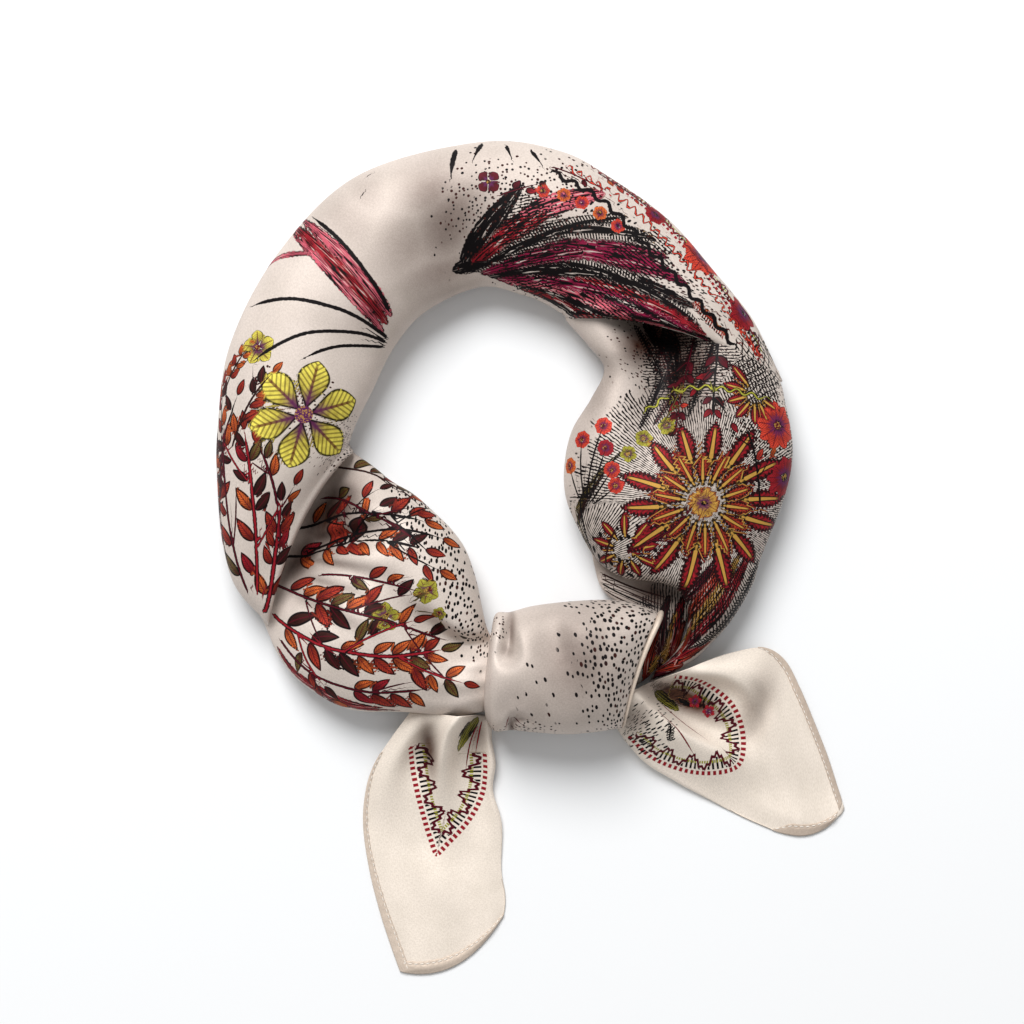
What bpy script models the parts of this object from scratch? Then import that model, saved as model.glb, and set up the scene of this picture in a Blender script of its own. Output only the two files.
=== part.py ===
"""A silk square, rolled on its diagonal, tied in a loop and laid flat.

Every stretch of the rolled cloth is a loft. A table row gives where a section's outer, middle and inner
points lie on the surface, how high the cloth stands there and how far its underside is lifted. Folds are
tables of their own: a line on the cloth, how deep it is, and how wide to either side.
The tables are in millimetres and the model is in metres. X runs to the right, Y away from the tails and Z up.
"""

from collections import namedtuple

import bmesh
import bpy
import numpy as np

MM = 0.001

# Driving dimensions, in millimetres
CLOTH_WALL = 1.6  # a tail's wall
SEAM_GAP = 0.3  # between pieces that touch
CUT_CLEARANCE = 0.4  # round the piece that lies on top, where one is cut for another
STATION = 6.0  # between the sections of a stretch
KNOT_STATION = 3.5
ROLL_POINTS = 17  # across the top of a section
TAIL_POINTS = 17
HEM_POINTS = 3  # across a hem
WIDEST = 0.42  # of a roll's height, where it is widest
FOOT = 1.35  # how fast a roll's side comes down to the surface
CROWN = 0.85  # below 1, a roll's top is flatter than an ellipse
LIP_RADIUS = 2.5  # of the round along a fold edge
LIP_TURNS = (0.6, 1.2)  # how far round the edge its two extra sections lie, in radians
SIDE_EDGE = 0.3  # half the height of a roll's edge at its widest
HEM_WIDTH = 4.5
HEM_WALL = 0.8
HEM_INSET = 0.4  # from the tail's edge
LOOP_SPLIT = 8  # the row of the outer roll at the top of the loop

SILK_ROUGHNESS = 0.42
CREAM = (0.76, 0.67, 0.58)
SHELL = (0.80, 0.72, 0.62)
HEM_CREAM = (0.70, 0.60, 0.50)
ROSE = (0.50, 0.10, 0.16)
RUST = (0.52, 0.16, 0.06)
CRIMSON = (0.45, 0.04, 0.05)
BRICK = (0.42, 0.09, 0.05)

Row = namedtuple("Row", "outer middle inner rise under", defaults=(0.0,))
Fold = namedtuple("Fold", "x y depth left right")

# The outer roll, from its fold edge at the lower left, up, over the top and down to its lip at the right
OUTER_ROLL = [
    Row((-105, -24), (-91.5, 15.5), (-71.5, 44), 21, 13),
    Row((-116, -11), (-95, 22), (-72, 45), 26, 6),
    Row((-121, 6), (-98, 29), (-71.5, 46), 29),
    Row((-123, 28), (-98.5, 39), (-70.5, 49), 30),
    Row((-123, 50), (-97, 52), (-68.5, 54), 31),
    Row((-118, 84), (-90, 74), (-63, 65), 31),
    Row((-99, 120), (-77, 98), (-54, 83), 31),
    Row((-68, 150), (-54, 123), (-41.5, 97), 30),
    Row((-20.5, 163), (-20.5, 134.5), (-20.5, 106.5), 29),
    Row((11, 159.5), (4, 131.5), (-4, 103.5), 28),
    Row((33, 147.5), (20, 123.5), (5, 100), 28),
    Row((54, 132), (35, 114.5), (10, 97), 28, 0),
    Row((71, 112.5), (46, 105), (11.5, 96.3), 28, 3),
    Row((86, 94), (51, 98), (12, 96), 28, 9),
    Row((96.5, 72), (53, 92), (12.5, 95.5), 27, 15),
]

LOWER_LEFT = [
    Row((-113, -7), (-96.5, 25.5), (-73, 44.7), 2),
    Row((-110, -14), (-94.5, 20), (-73, 44), 5),
    Row((-104.5, -27.5), (-90.5, 13.5), (-70.5, 42), 12),
    Row((-100, -37), (-82, 1.5), (-62.5, 36.5), 19),
    Row((-93.5, -45.5), (-73, -7.5), (-55, 30.5), 25),
    Row((-85, -52), (-66, -13.5), (-46.5, 25.5), 28),
    Row((-75, -57.5), (-57, -19.5), (-38.5, 18.5), 29),
    Row((-65, -59.5), (-48, -24), (-31.5, 11.5), 29),
    Row((-55.5, -59.5), (-40.5, -28), (-26, 3.5), 28),
    Row((-46, -60), (-34, -34), (-22, -8), 27),
    Row((-36, -61), (-28, -40.5), (-19.5, -20), 26),
    Row((-27.5, -61.5), (-23, -44), (-18, -26.5), 25),
    Row((-18.5, -59.5), (-17, -45), (-16, -31), 22),
]

RIGHT_LIMB = [
    Row((72, 107), (47, 104), (13.5, 95.8), 2),
    Row((82, 94), (51.5, 99), (13, 94.5), 6),
    Row((95, 69.5), (53, 90), (14, 92.5), 24),
    Row((99, 60), (62, 74), (21.5, 84), 28.5),
    Row((101.5, 46.5), (66, 58), (28, 74.5), 30),
    Row((101, 35), (62, 47.5), (23, 63), 30),
    Row((98, 23), (56, 37), (15.5, 50.5), 30),
    Row((94, 12.5), (53, 24), (12.5, 37), 30),
    Row((91, 5), (51.5, 14), (13, 24.5), 29),
    Row((89.5, 1), (54, 7), (17.5, 13), 28),
    Row((88, -4), (57, 1), (25, 0), 27),
    Row((86.5, -9), (61, -3), (35, -7), 26),
    Row((84, -14), (65, -8.5), (46, -8.5), 25),
    Row((80.5, -20), (68, -14.5), (54.5, -10.5), 24),
    Row((76, -26.5), (68.5, -21.5), (59, -15), 22),
    Row((70, -33), (66, -28.5), (61, -22), 19),
    Row((64.5, -38.5), (62.5, -34.5), (60, -29.5), 16),
    Row((58.5, -43), (58, -39.5), (57, -35.5), 13),
    Row((52.5, -46), (53, -43), (53, -40), 10),
    Row((46.5, -48.5), (47.5, -46), (48.5, -43.5), 8),
]

RIGHT_INNER = [
    Row((64, -15), (45, -9), (26, -4), 6),
    Row((60, -26), (44, -20), (28.5, -15.5), 9),
    Row((57, -37), (47, -28), (36.5, -18), 10),
    Row((48, -46), (44, -33), (40, -20), 8),
    Row((41, -50), (38.5, -38), (36, -26), 6),
]

KNOT = [
    Row((-17.5, -63.5), (-18, -47.5), (-16.5, -31.5), 28),
    Row((-14.5, -67), (-15, -44.5), (-14.5, -21.5), 33),
    Row((-8, -66.5), (-8.3, -43.5), (-8.6, -20.5), 36),
    Row((1, -67.3), (1, -42.7), (1, -18), 38),
    Row((12.7, -68), (14.6, -42), (16.6, -16.2), 39),
    Row((23.2, -67.3), (27.2, -41.6), (31, -15.8), 38),
    Row((29.8, -66.5), (34.8, -41.5), (42.3, -17.7), 35, 8),
    Row((34.5, -65.3), (41.1, -40.8), (50.5, -21.6), 29, 15.5),
]

LEFT_TAIL = [
    Row((-48, -60), (-33, -60.5), (-17, -61), 6),
    Row((-55, -69.5), (-36, -70), (-17.5, -70.5), 4),
    Row((-62, -80.5), (-39, -80.5), (-16, -80.5), 2),
    Row((-65.5, -91.5), (-41, -91.5), (-17, -91.5), 1),
    Row((-66.5, -105.5), (-40, -105.5), (-13, -105.5), 0),
    Row((-64, -123), (-38, -122.5), (-12.5, -122), 0),
    Row((-60, -139), (-35, -138), (-10.8, -132), 0),
    Row((-56, -151.5), (-32, -149.5), (-10.8, -137.5), 0),
    Row((-52, -162.8), (-30, -160), (-11.5, -141), 0),
]

RIGHT_TAIL = [
    Row((45, -49), (39.5, -56), (33.5, -63), 9),
    Row((56.5, -44.5), (47, -57.5), (38, -71), 6),
    Row((67.5, -40), (56.5, -60), (46, -79.5), 4),
    Row((79, -36.5), (68, -61.5), (57.5, -86.5), 2),
    Row((91, -35), (80, -64), (68, -93), 1),
    Row((99.5, -40), (89, -70), (78.5, -99.5), 0),
    Row((105.5, -51), (97.5, -78), (89, -104.5), 0),
    Row((111, -64), (105, -86), (98.5, -108), 0),
    Row((116.5, -78), (112, -93.5), (107.5, -109), 0),
    Row((120.8, -91), (118.5, -98.5), (116, -106), 0),
    Row((123, -98.5), (122.2, -100.5), (121.2, -102.5), 0),
]

# Folds: depth is down into the cloth, so a ridge is below 0; left and right are as one walks down the rows
ROLL_FOLDS = [
    [  # the shoulder that sinks into the lip at the right
        Fold(30, 112, 0, 10, 10),
        Fold(46, 102, 2.5, 9, 9),
        Fold(62, 92, 3, 8, 8),
        Fold(78, 84, 0, 8, 8),
    ],
]

LOWER_LEFT_FOLDS = [
    [  # the pocket under the roll's fold edge
        Fold(-72, 38, 3, 8, 8),
        Fold(-80, 24, 8, 9, 9),
        Fold(-88, 10, 7, 9, 9),
        Fold(-97, -10, 0, 8, 8),
    ],
    [  # the long crease out of the knot, steep on the side of the loop's hole
        Fold(-16, -31, 7, 4, 4),
        Fold(-28, -32, 9, 5, 6),
        Fold(-34, -28, 9, 5, 7),
        Fold(-42, -23, 7, 5, 8),
        Fold(-52, -16, 4, 6, 9),
        Fold(-63, -6, 0, 7, 9),
    ],
]

RIGHT_LIMB_FOLDS = [
    [  # the hollow under the lip, which runs out down the limb
        Fold(46, 97, 23, 17, 15),
        Fold(54, 85, 19, 15, 14),
        Fold(50, 70, 13, 12, 12),
        Fold(46, 54, 8, 11, 12),
        Fold(46, 40, 3, 10, 12),
        Fold(48, 28, 0, 10, 12),
    ],
]

KNOT_FOLDS = [
    [  # the pleat from the notch down to the dimple
        Fold(-8, -17, 12, 3.5, 3.5),
        Fold(-8, -26, 8, 3, 3),
        Fold(-9, -33, 6, 3, 3.5),
        Fold(-10, -39, 5, 4, 4),
        Fold(-11, -43, 0, 4, 4),
    ],
    [  # the soft trough down the middle
        Fold(9, -26, 0, 7, 7),
        Fold(11, -36, 3, 7, 7),
        Fold(13, -48, 3, 7, 7),
        Fold(14, -58, 0, 7, 7),
    ],
]

LEFT_TAIL_FOLDS = [
    [  # the tube that runs out of the knot
        Fold(-22, -53, -15, 8, 7),
        Fold(-27, -63, -14, 7, 6),
        Fold(-31.5, -74, -11, 7, 6),
        Fold(-34, -86, -8, 7, 7),
        Fold(-36, -96, -4, 8, 8),
        Fold(-38, -106, 0, 9, 9),
    ],
]

RIGHT_TAIL_FOLDS = [
    [  # the front tube, steep towards the hollow behind it
        Fold(39, -56, -13, 6, 10),
        Fold(47, -65, -13, 6, 10),
        Fold(57, -72, -11, 6, 10),
        Fold(67, -77, -7, 7, 10),
        Fold(77, -80, -3, 8, 10),
        Fold(86, -82, 0, 8, 10),
    ],
    [  # the back of the hollow
        Fold(54, -46, -5, 6, 8),
        Fold(66, -46, -7, 8, 8),
        Fold(80, -48, -6, 11, 11),
        Fold(93, -54, -3, 12, 12),
        Fold(102, -64, 0, 12, 12),
    ],
]


def smooth_between(table, places):
    """The rows of a table at fractional places, on a Catmull-Rom curve through them."""
    padded = np.vstack([2 * table[0] - table[1], table, 2 * table[-1] - table[-2]])
    low = np.clip(np.floor(places).astype(int), 0, len(table) - 2)
    t = (places - low)[:, None]
    a, b, c, d = (padded[low + k] for k in range(4))
    return 0.5 * (2 * b + (c - a) * t + (2 * a - 5 * b + 4 * c - d) * t**2 + (3 * b - a - 3 * c + d) * t**3)


def stations(rows, spacing=STATION):
    """Places along the rows about spacing apart, with one on every row."""
    middles = np.array([row.middle for row in rows], float)
    places = [0.0]
    for k, step in enumerate(np.linalg.norm(np.diff(middles, axis=0), axis=1)):
        count = max(1, round(step / spacing))
        places += [k + (i + 1) / count for i in range(count)]
    return np.array(places)


def fold_depth(x, y, folds):
    """How far the folds lower the cloth at each point."""
    total = np.zeros_like(x)
    for fold in folds:
        line = smooth_between(np.array(fold, float), np.linspace(0, len(fold) - 1, 6 * len(fold)))
        deepest = np.zeros_like(x)
        for start, end in zip(line, line[1:]):
            dx, dy = end[:2] - start[:2]
            t = np.clip(((x - start[0]) * dx + (y - start[1]) * dy) / (dx * dx + dy * dy), 0, 1)
            across, along = x - start[0] - t * dx, y - start[1] - t * dy
            _, _, depth, left, right = (start[:, None, None] + (end - start)[:, None, None] * t)
            width = np.where(dx * along - dy * across > 0, left, right)
            here = depth * np.exp(-(across**2 + along**2) / width**2)
            deepest = np.where(np.abs(here) > np.abs(deepest), here, deepest)
        total += deepest
    return total


def plan(rows, places, u):
    """Where each point of the sections lies on the surface, and the rows' rise and under there.

    u runs from 0 at a section's outer point to 1 at its inner one, in one line for all or a line for each.
    """
    table = np.array([[*row.outer, *row.middle, *row.inner, row.rise, row.under] for row in rows], float)
    at = smooth_between(table, places)
    outer, middle, inner = at[:, None, 0:2], at[:, None, 2:4], at[:, None, 4:6]
    v = np.broadcast_to(u, (len(places), u.shape[-1]))[..., None]
    spots = outer * (1 - v) * (1 - 2 * v) + middle * 4 * v * (1 - v) + inner * v * (2 * v - 1)
    return spots[..., 0], spots[..., 1], at[:, 6:7], np.maximum(at[:, 7:8], 0)


def roll_sheets(rows, folds, places):
    """The top and the underside of a rolled stretch."""
    angle = np.linspace(0, np.pi, ROLL_POINTS)
    u = 0.5 - 0.5 * np.cos(angle)
    x, y, rise, under = plan(rows, places, u)
    height = np.sin(angle)[None, :]
    lift = under * np.minimum(1, 1.6 * height)
    widest = lift + (rise - lift) * WIDEST
    crest = rise - fold_depth(x, y, folds)
    top = widest + SIDE_EDGE + (crest - widest) * height**CROWN
    bottom = widest - SIDE_EDGE - (widest - lift) * np.minimum(1, FOOT * height)
    bottom = np.where(FOOT * height >= 1, lift, np.maximum(bottom, lift))
    top = np.maximum(top, bottom + 2 * SIDE_EDGE)
    return np.stack([x, y, top], -1), np.stack([x, y, bottom], -1)


def wall_sheets(rows, folds, places, u, lift=0.0, wall=CLOTH_WALL):
    """The top and the underside of a thin wall that lies on the surface, or lift above the one that does."""
    x, y, rise, _ = plan(rows, places, u)
    top = CLOTH_WALL + np.maximum(0, rise - fold_depth(x, y, folds))
    bottom = np.maximum(top - CLOTH_WALL, 0)
    if lift:
        top, bottom = top + lift + wall, top + lift
    return np.stack([x, y, top], -1), np.stack([x, y, bottom], -1)


def edge_share(rows, places, width):
    """What share of each section a strip of this width takes."""
    ends = plan(rows, places, np.array([0.0, 1.0]))
    return width / np.hypot(np.diff(ends[0], axis=1), np.diff(ends[1], axis=1))


def rounded_edge(top, bottom):
    """Adds sections past the last one, each thinner than the one before, that round a fold edge off."""
    ahead = top[-1, :, :2] - top[-2, :, :2]
    ahead /= np.maximum(np.linalg.norm(ahead, axis=1, keepdims=True), LIP_RADIUS)
    middle = (top[-1] + bottom[-1]) / 2
    half = (top[-1] - bottom[-1]) / 2
    tops, bottoms = [top], [bottom]
    for turn in LIP_TURNS:
        step = np.pad(ahead * LIP_RADIUS * np.sin(turn), ((0, 0), (0, 1)))
        thinner = half * np.cos(turn) ** 0.7
        tops.append([middle + step + thinner])
        bottoms.append([middle + step - thinner])
    return np.concatenate(tops), np.concatenate(bottoms)


def solid_between(name, top, bottom):
    """A closed solid between two sheets of points of the same shape."""
    made = bmesh.new()
    upper, lower = ([[made.verts.new(p * MM) for p in line] for line in sheet] for sheet in (top, bottom))
    rows, columns = top.shape[:2]
    for i in range(rows - 1):
        for j in range(columns - 1):
            made.faces.new((upper[i][j], upper[i + 1][j], upper[i + 1][j + 1], upper[i][j + 1]))
            made.faces.new((lower[i][j], lower[i][j + 1], lower[i + 1][j + 1], lower[i + 1][j]))
        for j in (0, columns - 1):
            made.faces.new((upper[i][j], upper[i + 1][j], lower[i + 1][j], lower[i][j]))
    for i in (0, rows - 1):
        for j in range(columns - 1):
            made.faces.new((upper[i][j], upper[i][j + 1], lower[i][j + 1], lower[i][j]))
    bmesh.ops.recalc_face_normals(made, faces=made.faces)
    mesh = bpy.data.meshes.new(name)
    made.to_mesh(mesh)
    made.free()
    return mesh


def material(name, colour, roughness):
    made = bpy.data.materials.new(name)
    made.use_nodes = True
    shader = made.node_tree.nodes["Principled BSDF"]
    shader.inputs["Base Color"].default_value = (*colour, 1)
    shader.inputs["Roughness"].default_value = roughness
    shader.inputs["Sheen Weight"].default_value = 0.2
    return made


def piece(name, sheets, colour, collection):
    """One named object of the scarf, in its own material."""
    made = bpy.data.objects.new(name, solid_between(name, *sheets))
    made.data.materials.append(material(name + "_silk", colour, SILK_ROUGHNESS))
    collection.objects.link(made)
    return made


def tail(name, rows, folds, collection):
    """One of the square's corners, a thin wall that lies on the surface."""
    u = np.linspace(0, 1, TAIL_POINTS)
    return piece(name, wall_sheets(rows, folds, stations(rows), u), SHELL, collection)


def side_hem(name, rows, folds, span, inner, collection):
    """The hem along a tail's outer or inner side, between two rows, laid on the tail's own points."""
    places = np.linspace(*span, 1 + round(2 * (span[1] - span[0])))
    near, far = (edge_share(rows, places, width) for width in (HEM_INSET, HEM_INSET + HEM_WIDTH))
    u = near + (far - near) * np.linspace(0, 1, HEM_POINTS)
    sheets = wall_sheets(rows, folds, places, 1 - u if inner else u, SEAM_GAP, HEM_WALL)
    piece(name, sheets, HEM_CREAM, collection)


def end_hem(name, rows, folds, collection):
    """The hem across the end of a tail, up to the hem on its side."""
    last = len(rows) - 1
    length = np.hypot(*np.subtract(rows[-1].middle, rows[-2].middle))
    places = last - np.array([HEM_INSET + HEM_WIDTH, HEM_INSET + HEM_WIDTH / 2, HEM_INSET]) / length
    start = edge_share(rows, places, HEM_INSET + HEM_WIDTH + SEAM_GAP + HEM_INSET)
    u = start + (1 - start) * np.linspace(0, 1, TAIL_POINTS)
    sheets = wall_sheets(rows, folds, places, u, SEAM_GAP, HEM_WALL)
    piece(name, sheets, HEM_CREAM, collection)


def cut_clear(under, over, cutters):
    """Cuts one piece back from another that lies on top of it, with room to spare."""
    cutter = over.copy()
    cutter.data = over.data.copy()
    cutter.name = f"{under.name}_clear_of_{over.name}"
    cutter.hide_render = True
    cutter.display_type = "WIRE"
    cutters.objects.link(cutter)
    room = cutter.modifiers.new("room", "DISPLACE")
    room.strength = CUT_CLEARANCE * MM
    room.mid_level = 0
    cut = under.modifiers.new("clear_of_" + over.name, "BOOLEAN")
    cut.operation = "DIFFERENCE"
    cut.object = cutter


def main():
    for old in list(bpy.data.objects):
        bpy.data.objects.remove(old)
    scarf = bpy.data.collections.new("silk_square_scarf")
    cutters = bpy.data.collections.new("cutters")
    for collection in (scarf, cutters):
        bpy.context.scene.collection.children.link(collection)

    places = stations(OUTER_ROLL)
    top, bottom = roll_sheets(OUTER_ROLL, ROLL_FOLDS, places)
    split = int(np.argmin(np.abs(places - LOOP_SPLIT)))
    left = rounded_edge(top[split::-1], bottom[split::-1])
    right_top, right_bottom = top[split:].copy(), bottom[split:].copy()
    for sheet in (right_top, right_bottom):
        sheet[0, :, 0] += SEAM_GAP
    right = rounded_edge(right_top, right_bottom)
    left_roll = piece("left_roll", left, CREAM, scarf)
    top_right_roll = piece("top_right_roll", right, ROSE, scarf)

    sheets = roll_sheets(LOWER_LEFT, LOWER_LEFT_FOLDS, stations(LOWER_LEFT))
    lower_left = piece("lower_left_fold", sheets, RUST, scarf)
    sheets = roll_sheets(RIGHT_LIMB, RIGHT_LIMB_FOLDS, stations(RIGHT_LIMB))
    right_limb = piece("right_limb", sheets, CRIMSON, scarf)
    sheets = roll_sheets(RIGHT_INNER, [], stations(RIGHT_INNER))
    right_inner = piece("right_inner_band", sheets, BRICK, scarf)
    top, bottom = rounded_edge(*roll_sheets(KNOT, KNOT_FOLDS, stations(KNOT, KNOT_STATION)))
    knot = piece("knot_wrap", rounded_edge(top[::-1], bottom[::-1]), CREAM, scarf)

    left_tail = tail("left_tail", LEFT_TAIL, LEFT_TAIL_FOLDS, scarf)
    right_tail = tail("right_tail", RIGHT_TAIL, RIGHT_TAIL_FOLDS, scarf)
    side_hem("left_tail_side_hem", LEFT_TAIL, LEFT_TAIL_FOLDS, (2.5, 8), False, scarf)
    end_hem("left_tail_end_hem", LEFT_TAIL, LEFT_TAIL_FOLDS, scarf)
    side_hem("right_tail_side_hem", RIGHT_TAIL, RIGHT_TAIL_FOLDS, (4, 9.2), False, scarf)
    side_hem("right_tail_end_hem", RIGHT_TAIL, RIGHT_TAIL_FOLDS, (6, 8.8), True, scarf)

    cut_clear(lower_left, left_roll, cutters)
    cut_clear(lower_left, knot, cutters)
    cut_clear(right_limb, top_right_roll, cutters)
    cut_clear(right_limb, knot, cutters)
    for over in (right_limb, knot):
        cut_clear(right_inner, over, cutters)
    for over in (lower_left, knot):
        cut_clear(left_tail, over, cutters)
    for over in (right_limb, right_inner, knot):
        cut_clear(right_tail, over, cutters)


main()
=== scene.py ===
import math
import random

import bmesh
import bpy
import numpy as np
from mathutils import Matrix, Vector
from mathutils.bvhtree import BVHTree
from mathutils.kdtree import KDTree


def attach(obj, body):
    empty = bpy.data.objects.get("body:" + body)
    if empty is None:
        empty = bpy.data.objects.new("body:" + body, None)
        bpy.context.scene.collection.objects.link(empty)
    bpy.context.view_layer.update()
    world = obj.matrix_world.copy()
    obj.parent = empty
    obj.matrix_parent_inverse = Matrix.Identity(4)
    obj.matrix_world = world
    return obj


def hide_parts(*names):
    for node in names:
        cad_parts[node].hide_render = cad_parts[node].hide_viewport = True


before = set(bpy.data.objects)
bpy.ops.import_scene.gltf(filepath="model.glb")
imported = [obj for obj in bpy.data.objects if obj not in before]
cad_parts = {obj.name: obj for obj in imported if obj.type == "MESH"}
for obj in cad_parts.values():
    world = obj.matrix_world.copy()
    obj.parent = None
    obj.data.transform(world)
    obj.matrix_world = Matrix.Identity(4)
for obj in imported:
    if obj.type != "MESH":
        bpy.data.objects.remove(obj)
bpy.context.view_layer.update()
mm = 0.001

# The tables are in millimetres: X to the right, Y away from the tails, Z up off the surface.
# A row is a section of the rolled cloth: outer, middle and inner point, how high it stands, how far its
# underside is lifted. A crease is a line of (x, y, depth, width on its left, width on its right).
cloth = {
    "thickness": 0.35,
    "spacing": 0.95,  # between the sections of a roll
    "across": 96,  # points over the top of a section
    "beneath": 16,  # points along its underside
    "widest": 0.42,  # of a roll's height
    "foot": 1.35,  # how soon its sides turn in beneath, down to the surface
    "crown": 0.85,  # below 1 the top is fuller than half an ellipse
    "wander": 0.35,  # how far the skin wanders up and down
    "lipRadius": 2.6,
    "lipTurns": 6,  # rings round a fold edge
    "tuck": 4.0,  # how far the cloth goes on inside a fold edge
}
lipRings = cloth["lipTurns"] + 2  # the last section, the rings round the edge and the tucked one
settled = {
    "rows": 22,  # before its edge a lip starts to come down
    "over": 20,  # and takes so many rows for it
    "above": 0.3,  # it lies so far over the cloth below
    "drop": 0.22,  # past the edge each ring goes deeper by this
}
overhead = 90  # higher than all of the cloth
down = Vector((0, 0, -1))
tiny = 1e-6


def soft(share):  # eases in and out between 0 and 1
    return share * share * (3 - 2 * share)


def unit(ways):  # the same ways, each one long
    return ways / np.maximum(np.linalg.norm(ways, axis=-1, keepdims=True), tiny)


def runAlong(points):  # how far each point lies from the start of its line
    steps = np.linalg.norm(np.diff(points, axis=-2), axis=-1)
    return np.concatenate([np.zeros((*steps.shape[:-1], 1)), np.cumsum(steps, axis=-1)], axis=-1)


def smoothBetween(table, places):
    padded = np.vstack([2 * table[0] - table[1], table, 2 * table[-1] - table[-2]])
    low = np.clip(np.floor(places).astype(int), 0, len(table) - 2)
    t = (places - low)[:, None]
    a, b, c, d = (padded[low + k] for k in range(4))
    return 0.5 * (2 * b + (c - a) * t + (2 * a - 5 * b + 4 * c - d) * t**2 + (3 * b - a - 3 * c + d) * t**3)


def evenPlaces(rows, spacing):  # places along the rows, evenly spaced along their middle points
    table = np.array([row[2:4] for row in rows], float)
    fine = np.linspace(0, len(rows) - 1, 40 * len(rows))
    along = runAlong(smoothBetween(table, fine))
    return np.interp(np.linspace(0, along[-1], max(8, round(along[-1] / spacing))), along, fine)


def creaseDepth(x, y, creases):
    total = np.zeros_like(x)
    for crease in creases:
        line = smoothBetween(np.array(crease, float), np.linspace(0, len(crease) - 1, 12 * len(crease)))
        reach = 2.6 * line[:, 3:5].max()  # nothing is left of it farther off
        low, high = line[:, :2].min(0) - reach, line[:, :2].max(0) + reach
        near = (x > low[0]) & (x < high[0]) & (y > low[1]) & (y < high[1])
        px, py = x[near], y[near]
        deepest = np.zeros_like(px)
        for start, end in zip(line, line[1:]):
            dx, dy = end[:2] - start[:2]
            long = dx * dx + dy * dy + 1e-9
            t = np.clip(((px - start[0]) * dx + (py - start[1]) * dy) / long, 0, 1)
            ex, ey = px - start[0] - t * dx, py - start[1] - t * dy
            depth, left, right = (start[k] + (end[k] - start[k]) * t for k in (2, 3, 4))
            apart = ex**2 + ey**2
            side = (dx * ey - dy * ex) / np.sqrt(long * (apart + 0.3))
            width = (left + right) / 2 + (left - right) / 2 * side
            here = depth * np.exp(-apart / width**2)
            deepest = np.where(np.abs(here) > np.abs(deepest), here, deepest)
        total[near] += deepest
    return total


def wander(x, y, size, seed):  # a slow unevenness of the cloth, a sum of a few waves
    waves = np.random.default_rng(seed)
    total = np.zeros_like(x)
    for k in range(6):
        turn, phase = waves.uniform(0, math.tau, 2)
        length = size * waves.uniform(0.7, 1.8)
        total += np.sin((x * math.cos(turn) + y * math.sin(turn)) * math.tau / length + phase)
    return total / 3


def planAt(rows, places, u):  # seen from above: points across the rows, their rise and their lift
    at = smoothBetween(np.array(rows, float), places)
    outer, middle, inner = at[:, None, 0:2], at[:, None, 2:4], at[:, None, 4:6]
    v = u[None, :, None]
    spots = outer * (1 - v) * (1 - 2 * v) + middle * 4 * v * (1 - v) + inner * v * (2 * v - 1)
    return spots[..., 0], spots[..., 1], at[:, 6:7], np.maximum(at[:, 7:8], 0)


def rollSheet(piece, places, angle, top):  # the top or the underside of a roll
    x, y, rise, under = planAt(piece["rows"], places, 0.5 - 0.5 * np.cos(angle))
    height = np.sin(angle)[None, :]
    lift = under * np.minimum(1, 1.6 * height)
    widest = lift + (rise - lift) * cloth["widest"]
    z = np.where(cloth["foot"] * height >= 1, lift, widest - (widest - lift) * cloth["foot"] * height)
    if top:
        crest = rise - creaseDepth(x, y, piece["creases"])
        crest += piece.get("wander", cloth["wander"]) * wander(x, y, 38, piece["seed"])
        z = np.maximum(widest + (crest - widest) * height ** cloth["crown"], z + 0.4 * height)
    return np.stack([x, y, np.broadcast_to(z, x.shape)], -1)


def roundLip(rings, middle, radius):  # closes a fold edge: the cloth turns round it and goes back inside
    last, before = rings[-1], rings[-2]
    ahead = unit((last - before)[:, :2])
    turned = [rings]
    for turn in np.linspace(0.25, 1.45, cloth["lipTurns"]):
        step = np.pad(ahead * radius * math.sin(turn), ((0, 0), (0, 1)))
        turned.append((middle + step + (last - middle) * math.cos(turn) ** 0.75)[None])
    turned.append(turned[-1] - np.pad(ahead * cloth["tuck"], ((0, 0), (0, 1))))
    return np.concatenate(turned)


def sectionRings(piece):  # closed sections of a roll, with its lips
    places = evenPlaces(piece["rows"], piece.get("spacing", cloth["spacing"]))
    over = np.linspace(0, math.pi, piece.get("across", cloth["across"]))
    back = np.linspace(math.pi, 0, cloth["beneath"])
    top = rollSheet(piece, places, over, True)
    bottom = rollSheet(piece, places, back, False)
    rings = np.concatenate([top, bottom[:, 1:]], axis=1)
    steps = np.arange(len(back))
    under = np.concatenate([np.interp(over, back[::-1], steps[::-1]), steps[1:]])

    def middleAt(end):  # halfway between the top and the underside, for each point of an end section
        low = np.stack([np.interp(under, steps, bottom[end][:, c]) for c in range(3)], -1)
        angle = back[0] + (back[-1] - back[0]) * under / steps[-1]
        high = np.stack([np.interp(angle, over, top[end][:, c]) for c in range(3)], -1)
        return (low + high) / 2

    radius = piece.get("lipRadius", cloth["lipRadius"])
    if "last" in piece["lips"]:
        rings = roundLip(rings, middleAt(-1), radius)
    if "first" in piece["lips"]:
        rings = roundLip(rings[::-1], middleAt(0), radius)[::-1]
    return rings


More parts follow.
